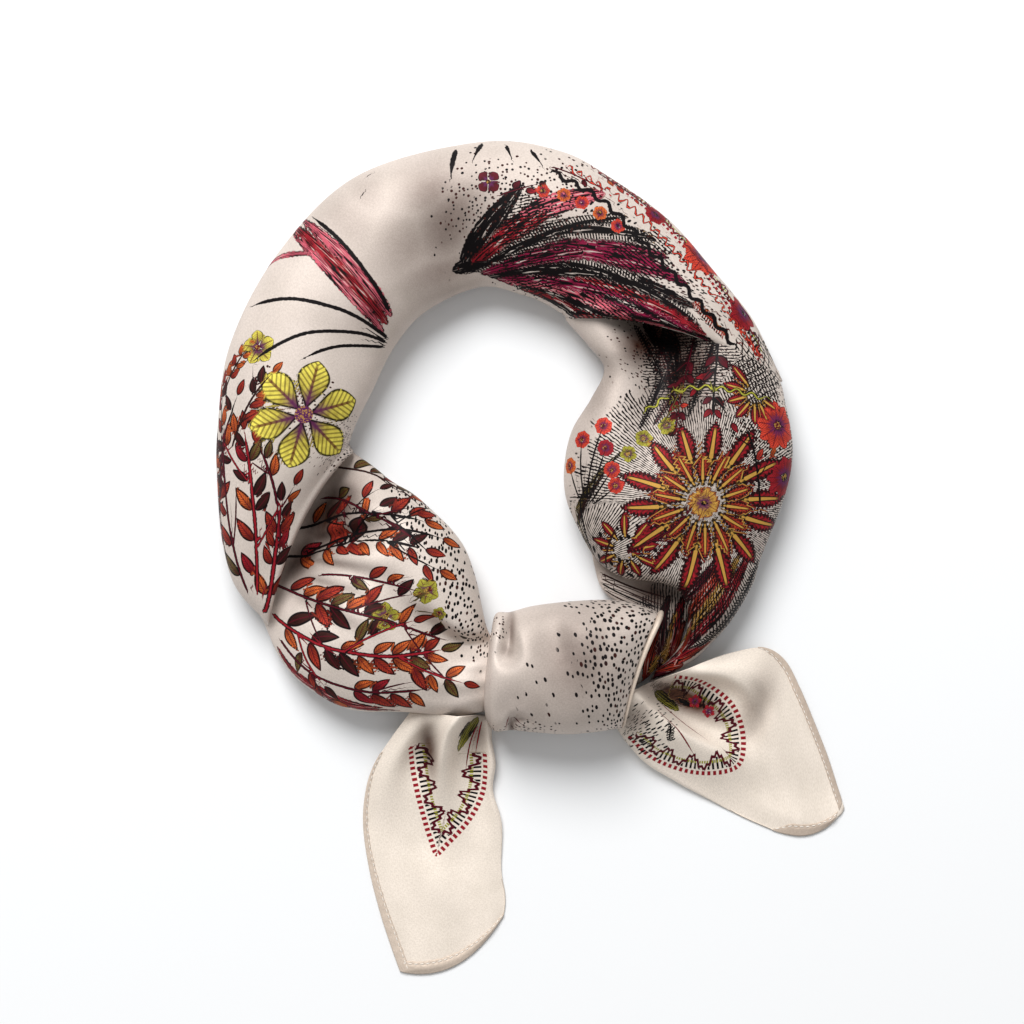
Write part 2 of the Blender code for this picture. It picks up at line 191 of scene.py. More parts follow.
def gridMesh(name, points, closed, smoothing=5):
    rows, columns = points.shape[:2]
    made = bmesh.new()
    bmesh.ops.create_grid(made, x_segments=rows - 1, y_segments=columns - 1, size=0.5)
    mesh = bpy.data.meshes.new(name)
    made.to_mesh(mesh)
    flat = np.empty(len(mesh.vertices) * 3)
    mesh.vertices.foreach_get("co", flat)
    flat = flat.reshape(-1, 3)
    row = np.rint((flat[:, 0] + 0.5) * (rows - 1)).astype(int)
    column = np.rint((flat[:, 1] + 0.5) * (columns - 1)).astype(int)
    mesh.vertices.foreach_set("co", (points[row, column] * mm).ravel())
    # the cloth's own flat measure, in centimetres, for its weave and small repeats
    along, around = runAlong(points[:, columns // 3]), runAlong(points)
    corner = np.empty(len(mesh.loops), int)
    mesh.loops.foreach_get("vertex_index", corner)
    measure = np.stack([along[row[corner]], around[row[corner], column[corner]]], -1) / 10
    mesh.uv_layers.new(name="flatCloth").data.foreach_set("uv", measure.ravel())
    made.clear()
    made.from_mesh(mesh)
    if closed:
        bmesh.ops.remove_doubles(made, verts=made.verts, dist=tiny)
    inside = [vert for vert in made.verts if not vert.is_boundary]
    upAndDown = {"use_axis_x": False, "use_axis_y": False, "use_axis_z": True}
    for _ in range(smoothing):
        bmesh.ops.smooth_vert(made, verts=inside, factor=0.5, **upAndDown)
    bmesh.ops.recalc_face_normals(made, faces=made.faces)
    made.to_mesh(mesh)
    made.free()
    mesh.shade_smooth()
    return mesh, along[-1], around[:, -1].mean()


def faceOut(mesh):  # the faces at the top of the highest part look up
    heights = np.array([face.center.z for face in mesh.polygons])
    top = mesh.polygons[int(heights.argmax())]
    if top.normal.z < 0:
        mesh.flip_normals()


def setDown(name, data):  # a new object in the scene
    made = bpy.data.objects.new(name, data)
    bpy.context.scene.collection.objects.link(made)
    return made


def scarfPiece(name, mesh, nodes=()):
    made = setDown(name, mesh)
    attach(made, "root")
    if nodes:
        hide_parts(*nodes)
    return made


def clothPiece(name, mesh, nodes=()):
    faceOut(mesh)
    made = scarfPiece(name, mesh, nodes)
    wall = made.modifiers.new("wall", "SOLIDIFY")
    wall.thickness = cloth["thickness"] * mm
    wall.offset = -1
    return made


def settleOnto(points, below, start, end):  # a lip runs out flat on the cloth below, from start to end
    corners = [tuple(point) for line in below for point in line]
    width = below.shape[1]
    quads = [
        (i * width + j, (i + 1) * width + j, (i + 1) * width + j + 1, i * width + j + 1)
        for i in range(below.shape[0] - 1)
        for j in range(width - 1)
    ]
    ground = BVHTree.FromPolygons(corners, quads)
    way = np.subtract(end, start)
    share = soft(np.clip(((points[..., :2] - start) @ way) / (way @ way), 0, 1))
    lip = points.shape[0] - lipRings
    for i in range(lip - settled["rows"], points.shape[0]):
        toLip = soft(min(1, (i - lip + settled["rows"]) / settled["over"]))
        gap = settled["above"] - settled["drop"] * max(0, i - lip)
        for j in range(cloth["across"]):
            weight = share[i, j] * toLip
            if weight > 0:
                x, y, z = points[i, j]
                hit = ground.ray_cast(Vector((x, y, overhead)), down)[0]
                if hit:
                    points[i, j, 2] = z + (hit.z + gap - z) * weight
                else:
                    spot, normal, _, _ = ground.find_nearest(Vector((x, y, z)))
                    out = Vector((normal.x, normal.y, 0)).normalized() * (0.5 * gap)
                    points[i, j] += (np.array(spot + out) - points[i, j]) * weight
    return points


def rolledPiece(name, piece, nodes, rings=None):
    rings = sectionRings(piece) if rings is None else rings
    mesh, length, girth = gridMesh(name, rings, True)
    made = clothPiece(name, mesh, nodes)
    print(f"{name}: {len(mesh.vertices)} points, {girth:.0f} mm round and {length:.0f} mm long")
    return made


outerRoll = {
    "rows": [
        (-105, -24, -91.5, 15.5, -71.5, 44, 21, 13),
        (-116, -11, -95, 22, -72, 45, 26, 6),
        (-121, 6, -98, 29, -71.5, 46, 29, 0),
        (-123, 28, -98.5, 39, -70.5, 49, 30, 0),
        (-123, 50, -97, 52, -68.5, 54, 31, 0),
        (-118, 84, -90, 74, -63, 65, 31, 0),
        (-99, 120, -77, 98, -54, 83, 31, 0),
        (-68, 150, -54, 123, -41.5, 97, 30, 0),
        (-20.5, 163, -20.5, 134.5, -20.5, 106.5, 29, 0),
        (11, 159.5, 4, 131.5, -4, 103.5, 28, 0),
        (33, 147.5, 20, 123.5, 5, 100, 28, 0),
        (54, 132, 35, 114.5, 10, 97, 28, 0),
        (71, 112.5, 46, 105, 11.5, 96.3, 28, 3),
        (86, 94, 51, 98, 12, 96, 28, 9),
        (96.5, 72, 53, 92, 12.5, 95.5, 27, 15),
    ],
    "creases": [
        [(24, 116, 0, 13, 13), (44, 104, 1.5, 12, 12), (62, 93, 2, 12, 12), (78, 86, 0, 10, 10)],
        [(-84, 46, 0, 9, 12), (-93, 24, 1.6, 8, 12), (-100, 0, 1.2, 8, 10), (-104, -14, 0, 6, 8)],
        [(-23, 100, 2, 8, 10), (-31, 115, 5.5, 10, 13), (-40, 130, 0, 12, 12)],
        [(-60, 72, 0, 10, 12), (-72, 84, 0.8, 12, 12), (-88, 92, 0, 12, 12)],
    ],
    "lips": ("first", "last"),
    "seed": 3,
}

lowerLeft = {
    "rows": [
        (-113, -7, -96.5, 25.5, -73, 44.7, 2, 0),
        (-110, -14, -94.5, 20, -73, 44, 5, 0),
        (-104.5, -27.5, -90.5, 13.5, -70.5, 42, 12, 0),
        (-100, -37, -82, 1.5, -62.5, 36.5, 19, 0),
        (-93.5, -45.5, -73, -7.5, -55, 30.5, 25, 0),
        (-85, -52, -66, -13.5, -46.5, 25.5, 28, 0),
        (-75, -57.5, -57, -19.5, -38.5, 18.5, 29, 0),
        (-65, -59.5, -48, -24, -31.5, 11.5, 29, 0),
        (-55.5, -59.5, -40.5, -28, -26, 3.5, 28, 0),
        (-46, -60, -34, -34, -22, -8, 27, 0),
        (-36, -61, -28, -40.5, -19.5, -20, 26, 0),
        (-27.5, -61.5, -23, -44, -18, -26.5, 25, 0),
        (-18.5, -59.5, -17, -45, -16, -31, 22, 0),
    ],
    "creases": [
        [
            (-72, 40, 2, 7, 7), (-80, 25, 10, 9, 9), (-89, 10, 12, 10, 9), (-98, -8, 3, 8, 8),
            (-103, -22, 0, 6, 6),
        ],
        [
            (-99, 3, 11, 2.2, 3), (-86, 6.5, 10, 2.2, 5), (-73, 9.5, 8, 2.2, 6.5),
            (-60, 13.5, 5, 2.5, 7), (-46, 19, 0, 3, 7),
        ],
        [
            (-100, 0, 7, 2, 3), (-88, -0.5, 6, 2, 4), (-75, -2.5, 4.5, 2.2, 5), (-62, -6.5, 2, 3, 6),
            (-50, -10, 0, 3, 6),
        ],
        [(-96, -5, 4, 1.8, 3), (-84, -8, 4, 2, 4), (-70, -13, 2.4, 2.4, 5), (-58, -19, 0, 3, 5)],
        [(-88, 22, 5, 2, 3), (-78, 25, 4, 2, 4), (-68, 25.5, 2, 2.5, 4), (-58, 23, 0, 3, 4)],
        [(-101, -12, 4, 2, 4), (-88, -16, 3.5, 2.5, 6), (-74, -24, 2, 3, 7), (-62, -31, 0, 4, 7)],
        [(-76, 33, -2.5, 4, 4), (-66, 24, -3, 5, 5), (-52, 14, -1.5, 5, 6), (-42, 0, 0, 5, 6)],
        [
            (-17, -32, 7, 5, 2.5), (-26, -32.5, 10, 7, 3), (-33, -30, 10.5, 8, 3),
            (-40, -25, 9, 8, 3.5), (-48, -19.5, 5, 8, 5), (-57, -12, 2, 8, 7), (-66, -4, 0, 8, 8),
        ],
        [(-20, -44, 1.6, 2.5, 3), (-34, -43, 1.4, 3, 4), (-50, -38, 0, 4, 5)],
        [(-20, -51, 1.2, 2.5, 3), (-36, -53, 1.2, 3, 4), (-56, -50, 0, 4, 5)],
    ],
    "lips": (),
    "seed": 8,
}

rightLimb = {
    "rows": [
        (70.5, 111.8, 46, 104, 13.5, 95.8, 26.5, 0),
        (85.5, 93.4, 51.5, 98, 13, 94.5, 26.6, 0),
        (96.2, 71.3, 54, 89, 14, 92.5, 26.6, 0),
        (99, 60, 62, 74, 21.5, 84, 28.5, 0),
        (101.5, 46.5, 66, 58, 28, 74.5, 30, 0),
        (101, 35, 62, 47.5, 23, 63, 30, 0),
        (98, 23, 56, 37, 15.5, 50.5, 30, 0),
        (94, 12.5, 53, 24, 12.5, 37, 30, 0),
        (91, 5, 51.5, 14, 13, 24.5, 29, 0),
        (89.5, 1, 54, 7, 17.5, 13, 28, 0),
        (88, -4, 57, 1, 25, 0, 27, 0),
        (86.5, -9, 61, -3, 35, -7, 26, 0),
        (84, -14, 65, -8.5, 46, -8.5, 25, 0),
        (80.5, -20, 68, -14.5, 54.5, -10.5, 24, 0),
        (76, -26.5, 68.5, -21.5, 59, -15, 22, 0),
        (70, -33, 66, -28.5, 61, -22, 19, 0),
        (64.5, -38.5, 62.5, -34.5, 60, -29.5, 16, 0),
        (58.5, -43, 58, -39.5, 57, -35.5, 13, 0),
        (52.5, -46, 53, -43, 53, -40, 10, 0),
        (46.5, -48.5, 47.5, -46, 48.5, -43.5, 8, 0),
    ],
    "creases": [
        [  # the hollow under the lip
            (45, 98, 24, 17, 14), (51, 87, 22, 14, 14), (51, 76, 17, 12, 14), (48, 60, 10.5, 11, 13),
            (46, 46, 5, 11, 13), (45, 30, 0, 11, 13),
        ],
        [(78, 18, 0, 6, 8), (66, 6, 1.2, 6, 8), (58, -4, 0, 5, 7)],
    ],
    "across": 112,
    "lips": (),
    "seed": 12,
}

rightInner = {
    "rows": [
        (66, -8, 45, 2, 22.5, 8, 4, 0),
        (63, -17, 44, -8, 24.4, -2.5, 7, 0),
        (60, -27, 44, -18.5, 27, -11, 9.5, 0),
        (57, -36, 46, -26, 33, -16.8, 10, 0),
        (50, -43, 45, -31.5, 38.5, -19.5, 9, 0),
        (41, -50, 38.5, -38, 36, -26, 6, 0),
    ],
    "creases": [[(28, -12, 1.5, 3, 3), (42, -24, 1.6, 3, 4), (50, -36, 0, 3, 3)]],
    "across": 60,
    "spacing": 0.8,
    "lips": (),
    "seed": 15,
}

knotWrap = {
    "rows": [
        (-17.5, -63.5, -18, -47.5, -16.5, -31.5, 28, 0),
        (-14.5, -67, -15, -44.5, -14.5, -21.5, 33, 0),
        (-8, -66.5, -8.3, -43.5, -8.6, -20.5, 36, 0),
        (1, -67.3, 1, -42.7, 1, -18, 38, 0),
        (12.7, -68, 14.6, -42, 16.6, -16.2, 39, 0),
        (23.2, -67.3, 27.2, -41.6, 31, -15.8, 38, 0),
        (29.4, -66.5, 34.2, -41.5, 41.3, -17.5, 35, 8),
        (33.9, -65.6, 39.8, -40.8, 48.2, -20.6, 30, 14.5),
    ],
    "creases": [
        [  # the pleat from the notch down to the dimple
            (-8.0, -17, 14, 1.5, 2.2), (-8.2, -22, 11, 1.5, 2.6), (-8.6, -27, 8.5, 1.6, 3.0),
            (-9.0, -32, 7.0, 2.6, 3.6), (-10.0, -36, 5.5, 3.8, 4.2), (-11.8, -38.5, 1.2, 4, 4),
        ],
        [(29, -24, 0, 4, 5), (26, -38, 0.9, 4, 6), (20, -54, 0, 4, 5)],
        [
            (5, -19, 0, 5, 8), (8.0, -25, 3.2, 6, 10), (8.6, -32, 4.4, 7, 11), (11, -42, 2.8, 9, 11),
            (13, -58, 0, 9, 9),
        ],
        [(-4, -50, 0, 6, 6), (-9, -55, 1.2, 5, 5), (-12, -60, 1.4, 4, 4), (-13, -67, 0, 3, 3)],
        [
            (-8.4, -68, 9, 1.5, 1.6), (-8.2, -63, 7, 1.5, 1.6), (-6.2, -60.8, 5, 1.6, 1.5),
            (-1.5, -62.6, 2.5, 1.6, 1.6),
        ],
        [(-14, -60, 0, 3, 3), (-11.5, -64, -1.2, 3, 2.4), (-11, -68, -1.5, 3, 2)],
    ],
    "across": 128,
    "spacing": 0.5,
    "lipRadius": 1.1,
    "wander": 0.3,
    "lips": ("first", "last"),
    "seed": 21,
}

knotLipForm = {
    "radius": 0.45,  # at its lower end
    "growth": 0.75,  # towards its upper end
    "out": 1.1,  # beyond the wrap's edge
    "sunk": 1.0,  # below it
    "stand": 1.5,  # its height over its width
    "cut": 3,  # points left off at each end
}


def knotEdge(rings, across):  # the narrow turned edge that shows beside the knot's wrap
    last = rings.shape[0] - lipRings
    line, before = rings[last, :across], rings[last - 2, :across]
    ahead = unit(line - before)
    grown = np.sin(math.pi * np.clip(np.linspace(0, 1, across) * 0.62, 0, 0.5))[:, None] ** 2
    radius = knotLipForm["radius"] + knotLipForm["growth"] * grown
    centre = line + ahead * (knotLipForm["out"] + 0.75 * radius)
    centre = centre - np.array([0, 0, 1]) * (knotLipForm["sunk"] + 0.4 * radius)
    tangent = unit(np.gradient(centre, axis=0))
    side = unit(np.cross(tangent, np.cross(ahead, tangent)))
    up = knotLipForm["stand"] * np.cross(tangent, side)
    turns = np.linspace(0, math.tau, 17)[None, :, None]
    ring = centre[:, None] + radius[:, None] * (side[:, None] * np.cos(turns) + up[:, None] * np.sin(turns))
    ring = ring[knotLipForm["cut"] : -knotLipForm["cut"]]
    ring[0], ring[-1] = ring[0].mean(axis=0), ring[-1].mean(axis=0)
    return ring


limbRings = sectionRings(rightLimb)
limbTop = limbRings[:110, : rightLimb["across"]]  # as far along it as the lip comes down
outerRings = settleOnto(sectionRings(outerRoll), limbTop, (64, 91), (77, 82))
outer = rolledPiece("outerRoll", outerRoll, ["left_roll", "top_right_roll"], outerRings)
lower = rolledPiece("lowerLeftRoll", lowerLeft, ["lower_left_fold"])
limb = rolledPiece("rightRoll", rightLimb, ["right_limb"], limbRings)
inner = rolledPiece("innerBand", rightInner, ["right_inner_band"])
knotRings = sectionRings(knotWrap)
knotLipMesh, _, _ = gridMesh("knotLip", knotEdge(knotRings, knotWrap["across"]), True, 0)
knotLip = clothPiece("knotLip", knotLipMesh)
knot = rolledPiece("knotWrap", knotWrap, ["knot_wrap"], knotRings)

# A tail is one layer of cloth. Its "room" is how soon its two sides and its end rise from the surface. Its
# second side turns under between the rows of "softSide". A hem's share of its full width goes by the row.
leftTail = {
    "rows": [
        (-48, -60, -33, -60.5, -17, -61, 6, 0),
        (-55, -69.5, -36, -70, -17.5, -70.5, 4, 0),
        (-62, -80.5, -39, -80.5, -16, -80.5, 2, 0),
        (-65.5, -91.5, -41, -91.5, -17, -91.5, 1, 0),
        (-66.5, -105.5, -40, -105.5, -13, -105.5, 0, 0),
        (-64, -123, -38, -122.5, -12.5, -122, 0, 0),
        (-60, -139, -35, -138, -10.8, -132, 0, 0),
        (-56, -151.5, -32, -149.5, -10.8, -137.5, 0, 0),
        (-52, -162.8, -30, -160, -11.5, -141, 0, 0),
    ],
    "creases": [
        [  # the tube that runs out of the knot
            (-22, -53, -15, 6, 5.5), (-28, -61, -14, 5.5, 4.5), (-33, -69, -12, 5.5, 4),
            (-35.3, -78, -9.5, 5.5, 4.2), (-35.7, -88, -6, 6, 5), (-34.5, -99, -2, 7, 7),
            (-33, -108, 0, 8, 8),
        ],
        [
            (-36, -60, -7, 7, 8), (-46, -66.5, -6, 5, 8), (-53, -77, -4.5, 5, 7), (-57, -90, -2, 6, 7),
            (-57, -102, 0, 6, 7),
        ],
        [
            (-16.5, -66, -4, 4, 4), (-15, -80, -4.2, 3.5, 4), (-14, -96, -3, 4, 4),
            (-13, -112, -1.2, 5, 4), (-12, -126, 0, 5, 4),
        ],
        [(-50, -118, 0, 8, 8), (-38, -128, -1.1, 9, 8), (-26, -140, 0, 8, 8)],
        [(-54, -146, 0, 3, 3), (-46, -150, 0.7, 3, 4), (-36, -149, 0, 3, 3)],
    ],
    "room": (6, 6, 5),
    "softSide": (0, 0.5, 7.2, 7.8),
    "hemWidth": ((1.6, 3.0, 4.5, 6.5, 8.0), (0.18, 0.3, 0.42, 0.85, 1.0)),
    "seed": 31,
}

rightTail = {
    "rows": [
        (34.6, -52.2, 32.4, -54.6, 29.2, -57.6, 11, 0),
        (56.5, -44.5, 47, -57.5, 38, -71, 6, 0),
        (67.5, -40, 56.5, -60, 46, -79.5, 4, 0),
        (79, -36.5, 68, -61.5, 57.5, -86.5, 2, 0),
        (91, -35, 80, -64, 68, -93, 1, 0),
        (99.5, -40, 89, -70, 78.5, -99.5, 0, 0),
        (105.5, -51, 97.5, -78, 89, -104.5, 0, 0),
        (111, -64, 105, -86, 98.5, -108, 0, 0),
        (116.5, -78, 112, -93.5, 107.5, -109, 0, 0),
        (120.4, -90, 118.4, -98, 115.5, -106.2, 0, 0),
        (123.2, -98.3, 122.9, -99.2, 122.4, -100.2, 0, 0),
    ],
    "creases": [
        [  # the front tube, with its steep edge towards the hollow behind it
            (31, -43, -13, 3.5, 12), (38, -50, -15, 3.5, 12), (46, -58.5, -14, 3, 12),
            (57, -67, -12, 3, 12), (68, -73.5, -8.5, 3.6, 12), (78, -78.5, -4, 6, 11),
            (88, -82, 0, 8, 10),
        ],
        [
            (50, -42, -5, 6, 6), (64, -43, -7.5, 9, 5), (79, -46, -7, 12, 5), (89, -55, -5.5, 12, 6),
            (93, -68, -3, 12, 7), (91, -80, 0, 11, 8),
        ],
        [(84, -47, 0, 3, 3), (91, -55, 1.6, 3, 3.5), (90.5, -64, 1.2, 3, 3.5), (86, -71, 0, 3, 3)],
        [(99, -58, 0, 8, 8), (104, -76, -1.2, 9, 8), (108, -92, 0, 8, 8)],
    ],
    "room": (6, 6, 5),
    "softSide": (0, 0.5, 6.4, 7.0),
    "hemWidth": ((3.8, 4.8, 5.8, 9.6), (0.06, 0.62, 0.95, 1.0)),
    "endWidth": ((6.6, 7.3, 9.5), (0.06, 1.0, 1.0)),
    "seed": 33,
}


def tailSheet(piece, places, v):  # points of a tail at places along it and v across it
    x, y, rise, _ = planAt(piece["rows"], places, v)
    room = np.minimum(v[None, :] * piece["room"][0], (1 - v[None, :]) * piece["room"][1])
    room = np.minimum(room, (len(piece["rows"]) - 1 - places)[:, None] * piece["room"][2])
    z = 0.55 + (0.75 + 0.3 * wander(x, y, 30, piece["seed"])) * soft(np.clip(room, 0, 1))
    z = z + np.maximum(0, rise - creaseDepth(x, y, piece["creases"]))
    return np.stack([x, y, z], -1)


def foldUnder(points, places, span):  # a soft side: the cloth turns down over its edge and in beneath
    share = np.interp(places, span, (0, 1, 1, 0))[:, None]
    edge, before = points[:, -1], points[:, -4]
    ahead = unit((edge - before)[:, :2])
    half = (edge[:, 2:] - 0.35) / 2
    columns = [points]
    for turn in np.linspace(0.35, math.pi, 9):
        folded = np.hstack([ahead * np.minimum(half, 1.6) * math.sin(turn), half * (math.cos(turn) - 1)])
        plain = np.hstack([ahead * 0.09 * turn, np.full_like(half, -0.03 * turn)])
        columns.append((edge + plain + (folded - plain) * share)[:, None])
    tuck = np.hstack([ahead * (0.1 - 3.6 * share * np.clip(half / 0.9, 0, 1)), 0 * share])
    columns.append((columns[-1][:, 0] + tuck)[:, None])
    return np.concatenate(columns, axis=1)


tail = {"spacing": 0.7, "across": 110, "smoothing": 3}


def tailPiece(name, piece, node):
    places = evenPlaces(piece["rows"], tail["spacing"])
    points = tailSheet(piece, places, np.linspace(0, 1, tail["across"]))
    points = foldUnder(points, places, piece["softSide"])
    mesh, length, width = gridMesh(name, points, False, tail["smoothing"])
    made = clothPiece(name, mesh, [node])
    print(f"{name}: {len(mesh.vertices)} points, {width:.0f} mm wide and {length:.0f} mm long")
    return made, width, length


def atDistance(piece, places, side, distances):  # where a hem's lines lie: so far in from a side of the tail
    sheet = tailSheet(piece, places, np.linspace(0, 1, 240))
    if side == "inner":
        sheet = sheet[:, ::-1]
    run = runAlong(sheet)
    narrowed = np.interp(places, *piece["hemWidth" if side == "outer" else "endWidth"])
    spots = np.empty((len(places), len(distances), 3))
    for i in range(len(places)):
        for k in range(3):
            spots[i, :, k] = np.interp(distances * narrowed[i], run[i], sheet[i, :, k])
    return spots


hem = {
    "width": 4.4,
    "height": 0.46,
    "points": 14,  # across its top
    "rows": (60, 170),  # for each row of the tail along its side, and in all across its end
    "stitch": 2.35,  # from one stitch to the next
    "drawn": 0.74,  # the length of a stitch, as a share of that
    "thread": 0.19,
    "seam": 0.80,  # where the stitches run, as a share of the width
    "ease": 9.0,  # over which a hem rises at its start
}


def hemPiece(name, piece, side, span, node, eased=False):
    share = np.linspace(0, 1, hem["points"])
    if side == "end":  # across the end of the tail
        last = len(piece["rows"]) - 1
        rows = np.array(piece["rows"], float)
        length = np.hypot(*(rows[-1, 2:4] - rows[-2, 2:4]))
        across = np.linspace(*span, hem["rows"][1])
        sheet = tailSheet(piece, last - share[::-1] * hem["width"] / length, across)[::-1]
        base = np.swapaxes(sheet, 0, 1)
    else:
        places = np.linspace(*span, int(hem["rows"][0] * (span[1] - span[0])))
        base = atDistance(piece, places, side, share * hem["width"])
    run = runAlong(base[:, hem["points"] // 2])
    beat = np.cos(run[:, None] * math.tau / hem["stitch"])
    seam = np.exp(-(((share - hem["seam"]) / 0.11) ** 2))
    crown = np.sin(math.pi * np.clip(share * 0.94 + 0.05, 0, 1)) ** 0.42
    outward = unit(base[:, :1] - base[:, 1:2])
    waver = 0.12 * np.sin(run * 1.9 + 1)[:, None] + 0.10 * np.sin(run * 0.83)[:, None]
    start = np.clip(run / hem["ease"], 0, 1)[:, None] if eased else 1.0
    top = base.copy()
    top[..., 2] += 0.06 + (hem["height"] * crown + 0.02) * start - 0.26 * seam * (0.7 + 0.3 * beat) * start
    top[..., 2] += 0.04 * np.sin(run[:, None] * 1.3 + 2 * share) * crown * (1 - seam) * start
    top += outward * (0.25 * (1 - share)[None, :, None] + waver[..., None] * (share[None, :, None] ** 2))
    beneath = base[:, [13, 8, 4, 0]].copy()  # back to the edge, on the tail
    beneath[..., 2] += np.array([0.02, 0.02, -0.1, -0.35])
    ring = np.concatenate([top, beneath, top[:, :1]], axis=1)
    closing = ring.mean(axis=1, keepdims=True)
    first, last = (np.broadcast_to(closing[end], ring[0].shape)[None] for end in (0, -1))
    mesh, _, _ = gridMesh(name, np.concatenate([first, ring, last]), True, 0)
    faceOut(mesh)
    line = base[:, 10:12].mean(axis=1)  # the seam lies between these two
    line[:, 2] = top[:, 10:12, 2].mean(axis=1)
    return scarfPiece(name, mesh, [node]), line, run


def stitchLine(name, lines):  # short threads, each with rounded ends, sunk at its needle holes
    made = bmesh.new()
    made.loops.layers.uv.new("flatCloth")
    for line, run in lines:
        for start in np.arange(1.0, run[-1] - 1.5, hem["stitch"]):
            spots = (start, start + hem["stitch"] * hem["drawn"])
            low, high = (np.array([np.interp(spot, run, line[:, k]) for k in range(3)]) for spot in spots)
            way = Vector(high - low)
            turn = way.to_track_quat("X", "Z").to_matrix().to_4x4()
            place = Matrix.Translation(Vector((low + high) / 2) * mm + Vector((0, 0, 0.06 * mm)))
            size = Matrix.Diagonal((way.length * 0.5 * mm, hem["thread"] * mm, hem["thread"] * mm, 1))
            shape = place @ turn @ size
            bmesh.ops.create_uvsphere(made, u_segments=8, v_segments=6, radius=1, matrix=shape, calc_uvs=True)
    mesh = bpy.data.meshes.new(name)
    made.to_mesh(mesh)
    made.free()
    mesh.shade_smooth()
    return scarfPiece(name, mesh)


left, leftWidth, leftLength = tailPiece("leftTail", leftTail, "left_tail")
right, rightWidth, rightLength = tailPiece("rightTail", rightTail, "right_tail")
leftSideHem, *line1 = hemPiece("leftSideHem", leftTail, "outer", (1.6, 8), "left_tail_side_hem")
leftEndHem, *line2 = hemPiece("leftEndHem", leftTail, "end", (0.02, 1), "left_tail_end_hem")
rightSideHem, *line3 = hemPiece("rightSideHem", rightTail, "outer", (3.8, 9.6), "right_tail_side_hem", True)
rightEndHem, *line4 = hemPiece("rightEndHem", rightTail, "inner", (6.6, 9.5), "right_tail_end_hem", True)
leftStitches = stitchLine("leftStitches", (line1, line2))
rightStitches = stitchLine("rightStitches", (line3, line4))
for made, width, length, sewn in (
    (left, leftWidth, leftLength, [leftSideHem, leftEndHem, leftStitches]),
    (right, rightWidth, rightLength, [rightSideHem, rightEndHem, rightStitches]),
):
    width * mm
    length * mm


def inkOf(*shown):  # a printed ink's red, green and blue, from 0 to 255 as the eye sees them
    return tuple((c / 255 / 12.92) if c < 10 else ((c / 255 + 0.055) / 1.055) ** 2.4 for c in shown)


inks = {
    "crimson": inkOf(148, 26, 38),
    "rust": inkOf(162, 52, 36),
    "orange": inkOf(202, 98, 46),
    "brown": inkOf(54, 24, 20),
    "olive": inkOf(104, 90, 46),
    "yellow": inkOf(208, 196, 84),
    "plum": inkOf(90, 36, 84),
    "pink": inkOf(200, 92, 108),
    "magenta": inkOf(140, 24, 64),
    "black": inkOf(14, 9, 11),
    "gold": inkOf(190, 146, 68),
    "coral": inkOf(200, 64, 48),
    "burgundy": inkOf(84, 12, 28),
    "green": inkOf(160, 158, 58),
}
palettes = {
    "autumn": ("rust", "orange", "crimson", "rust", "brown", "orange", "rust", "olive", "orange", "brown"),
    "ember": ("crimson", "gold", "crimson", "rust"),
    "dark": ("burgundy", "black", "crimson"),
    "bud": ("coral", "orange", "coral"),
}

bare = 9.0  # a distance that stands for nothing printed here
dotted, dashed, latticed, hatched = range(4)  # the kinds of patch
frond, petal = 0.5, 1.0  # the kinds of leaf, apart from the plain one, 0
combed, flowerHeart, border = 0.3, 0.5, 1.0  # the kinds of stroke, apart from the plain one, 0
# where a new leaf asks for room, as shares of its length and half width
freeAround = ((0.3, 0.5), (0.3, -0.5), (0.5, 0.9), (0.5, -0.9), (0.75, 0.5), (0.75, -0.5), (1.05, 0))
printed = ("leafSpot", "leafInk", "lineSpot", "lineInk", "strokeSpot", "strokeInk", "areas", "hatch", "paintedShade")


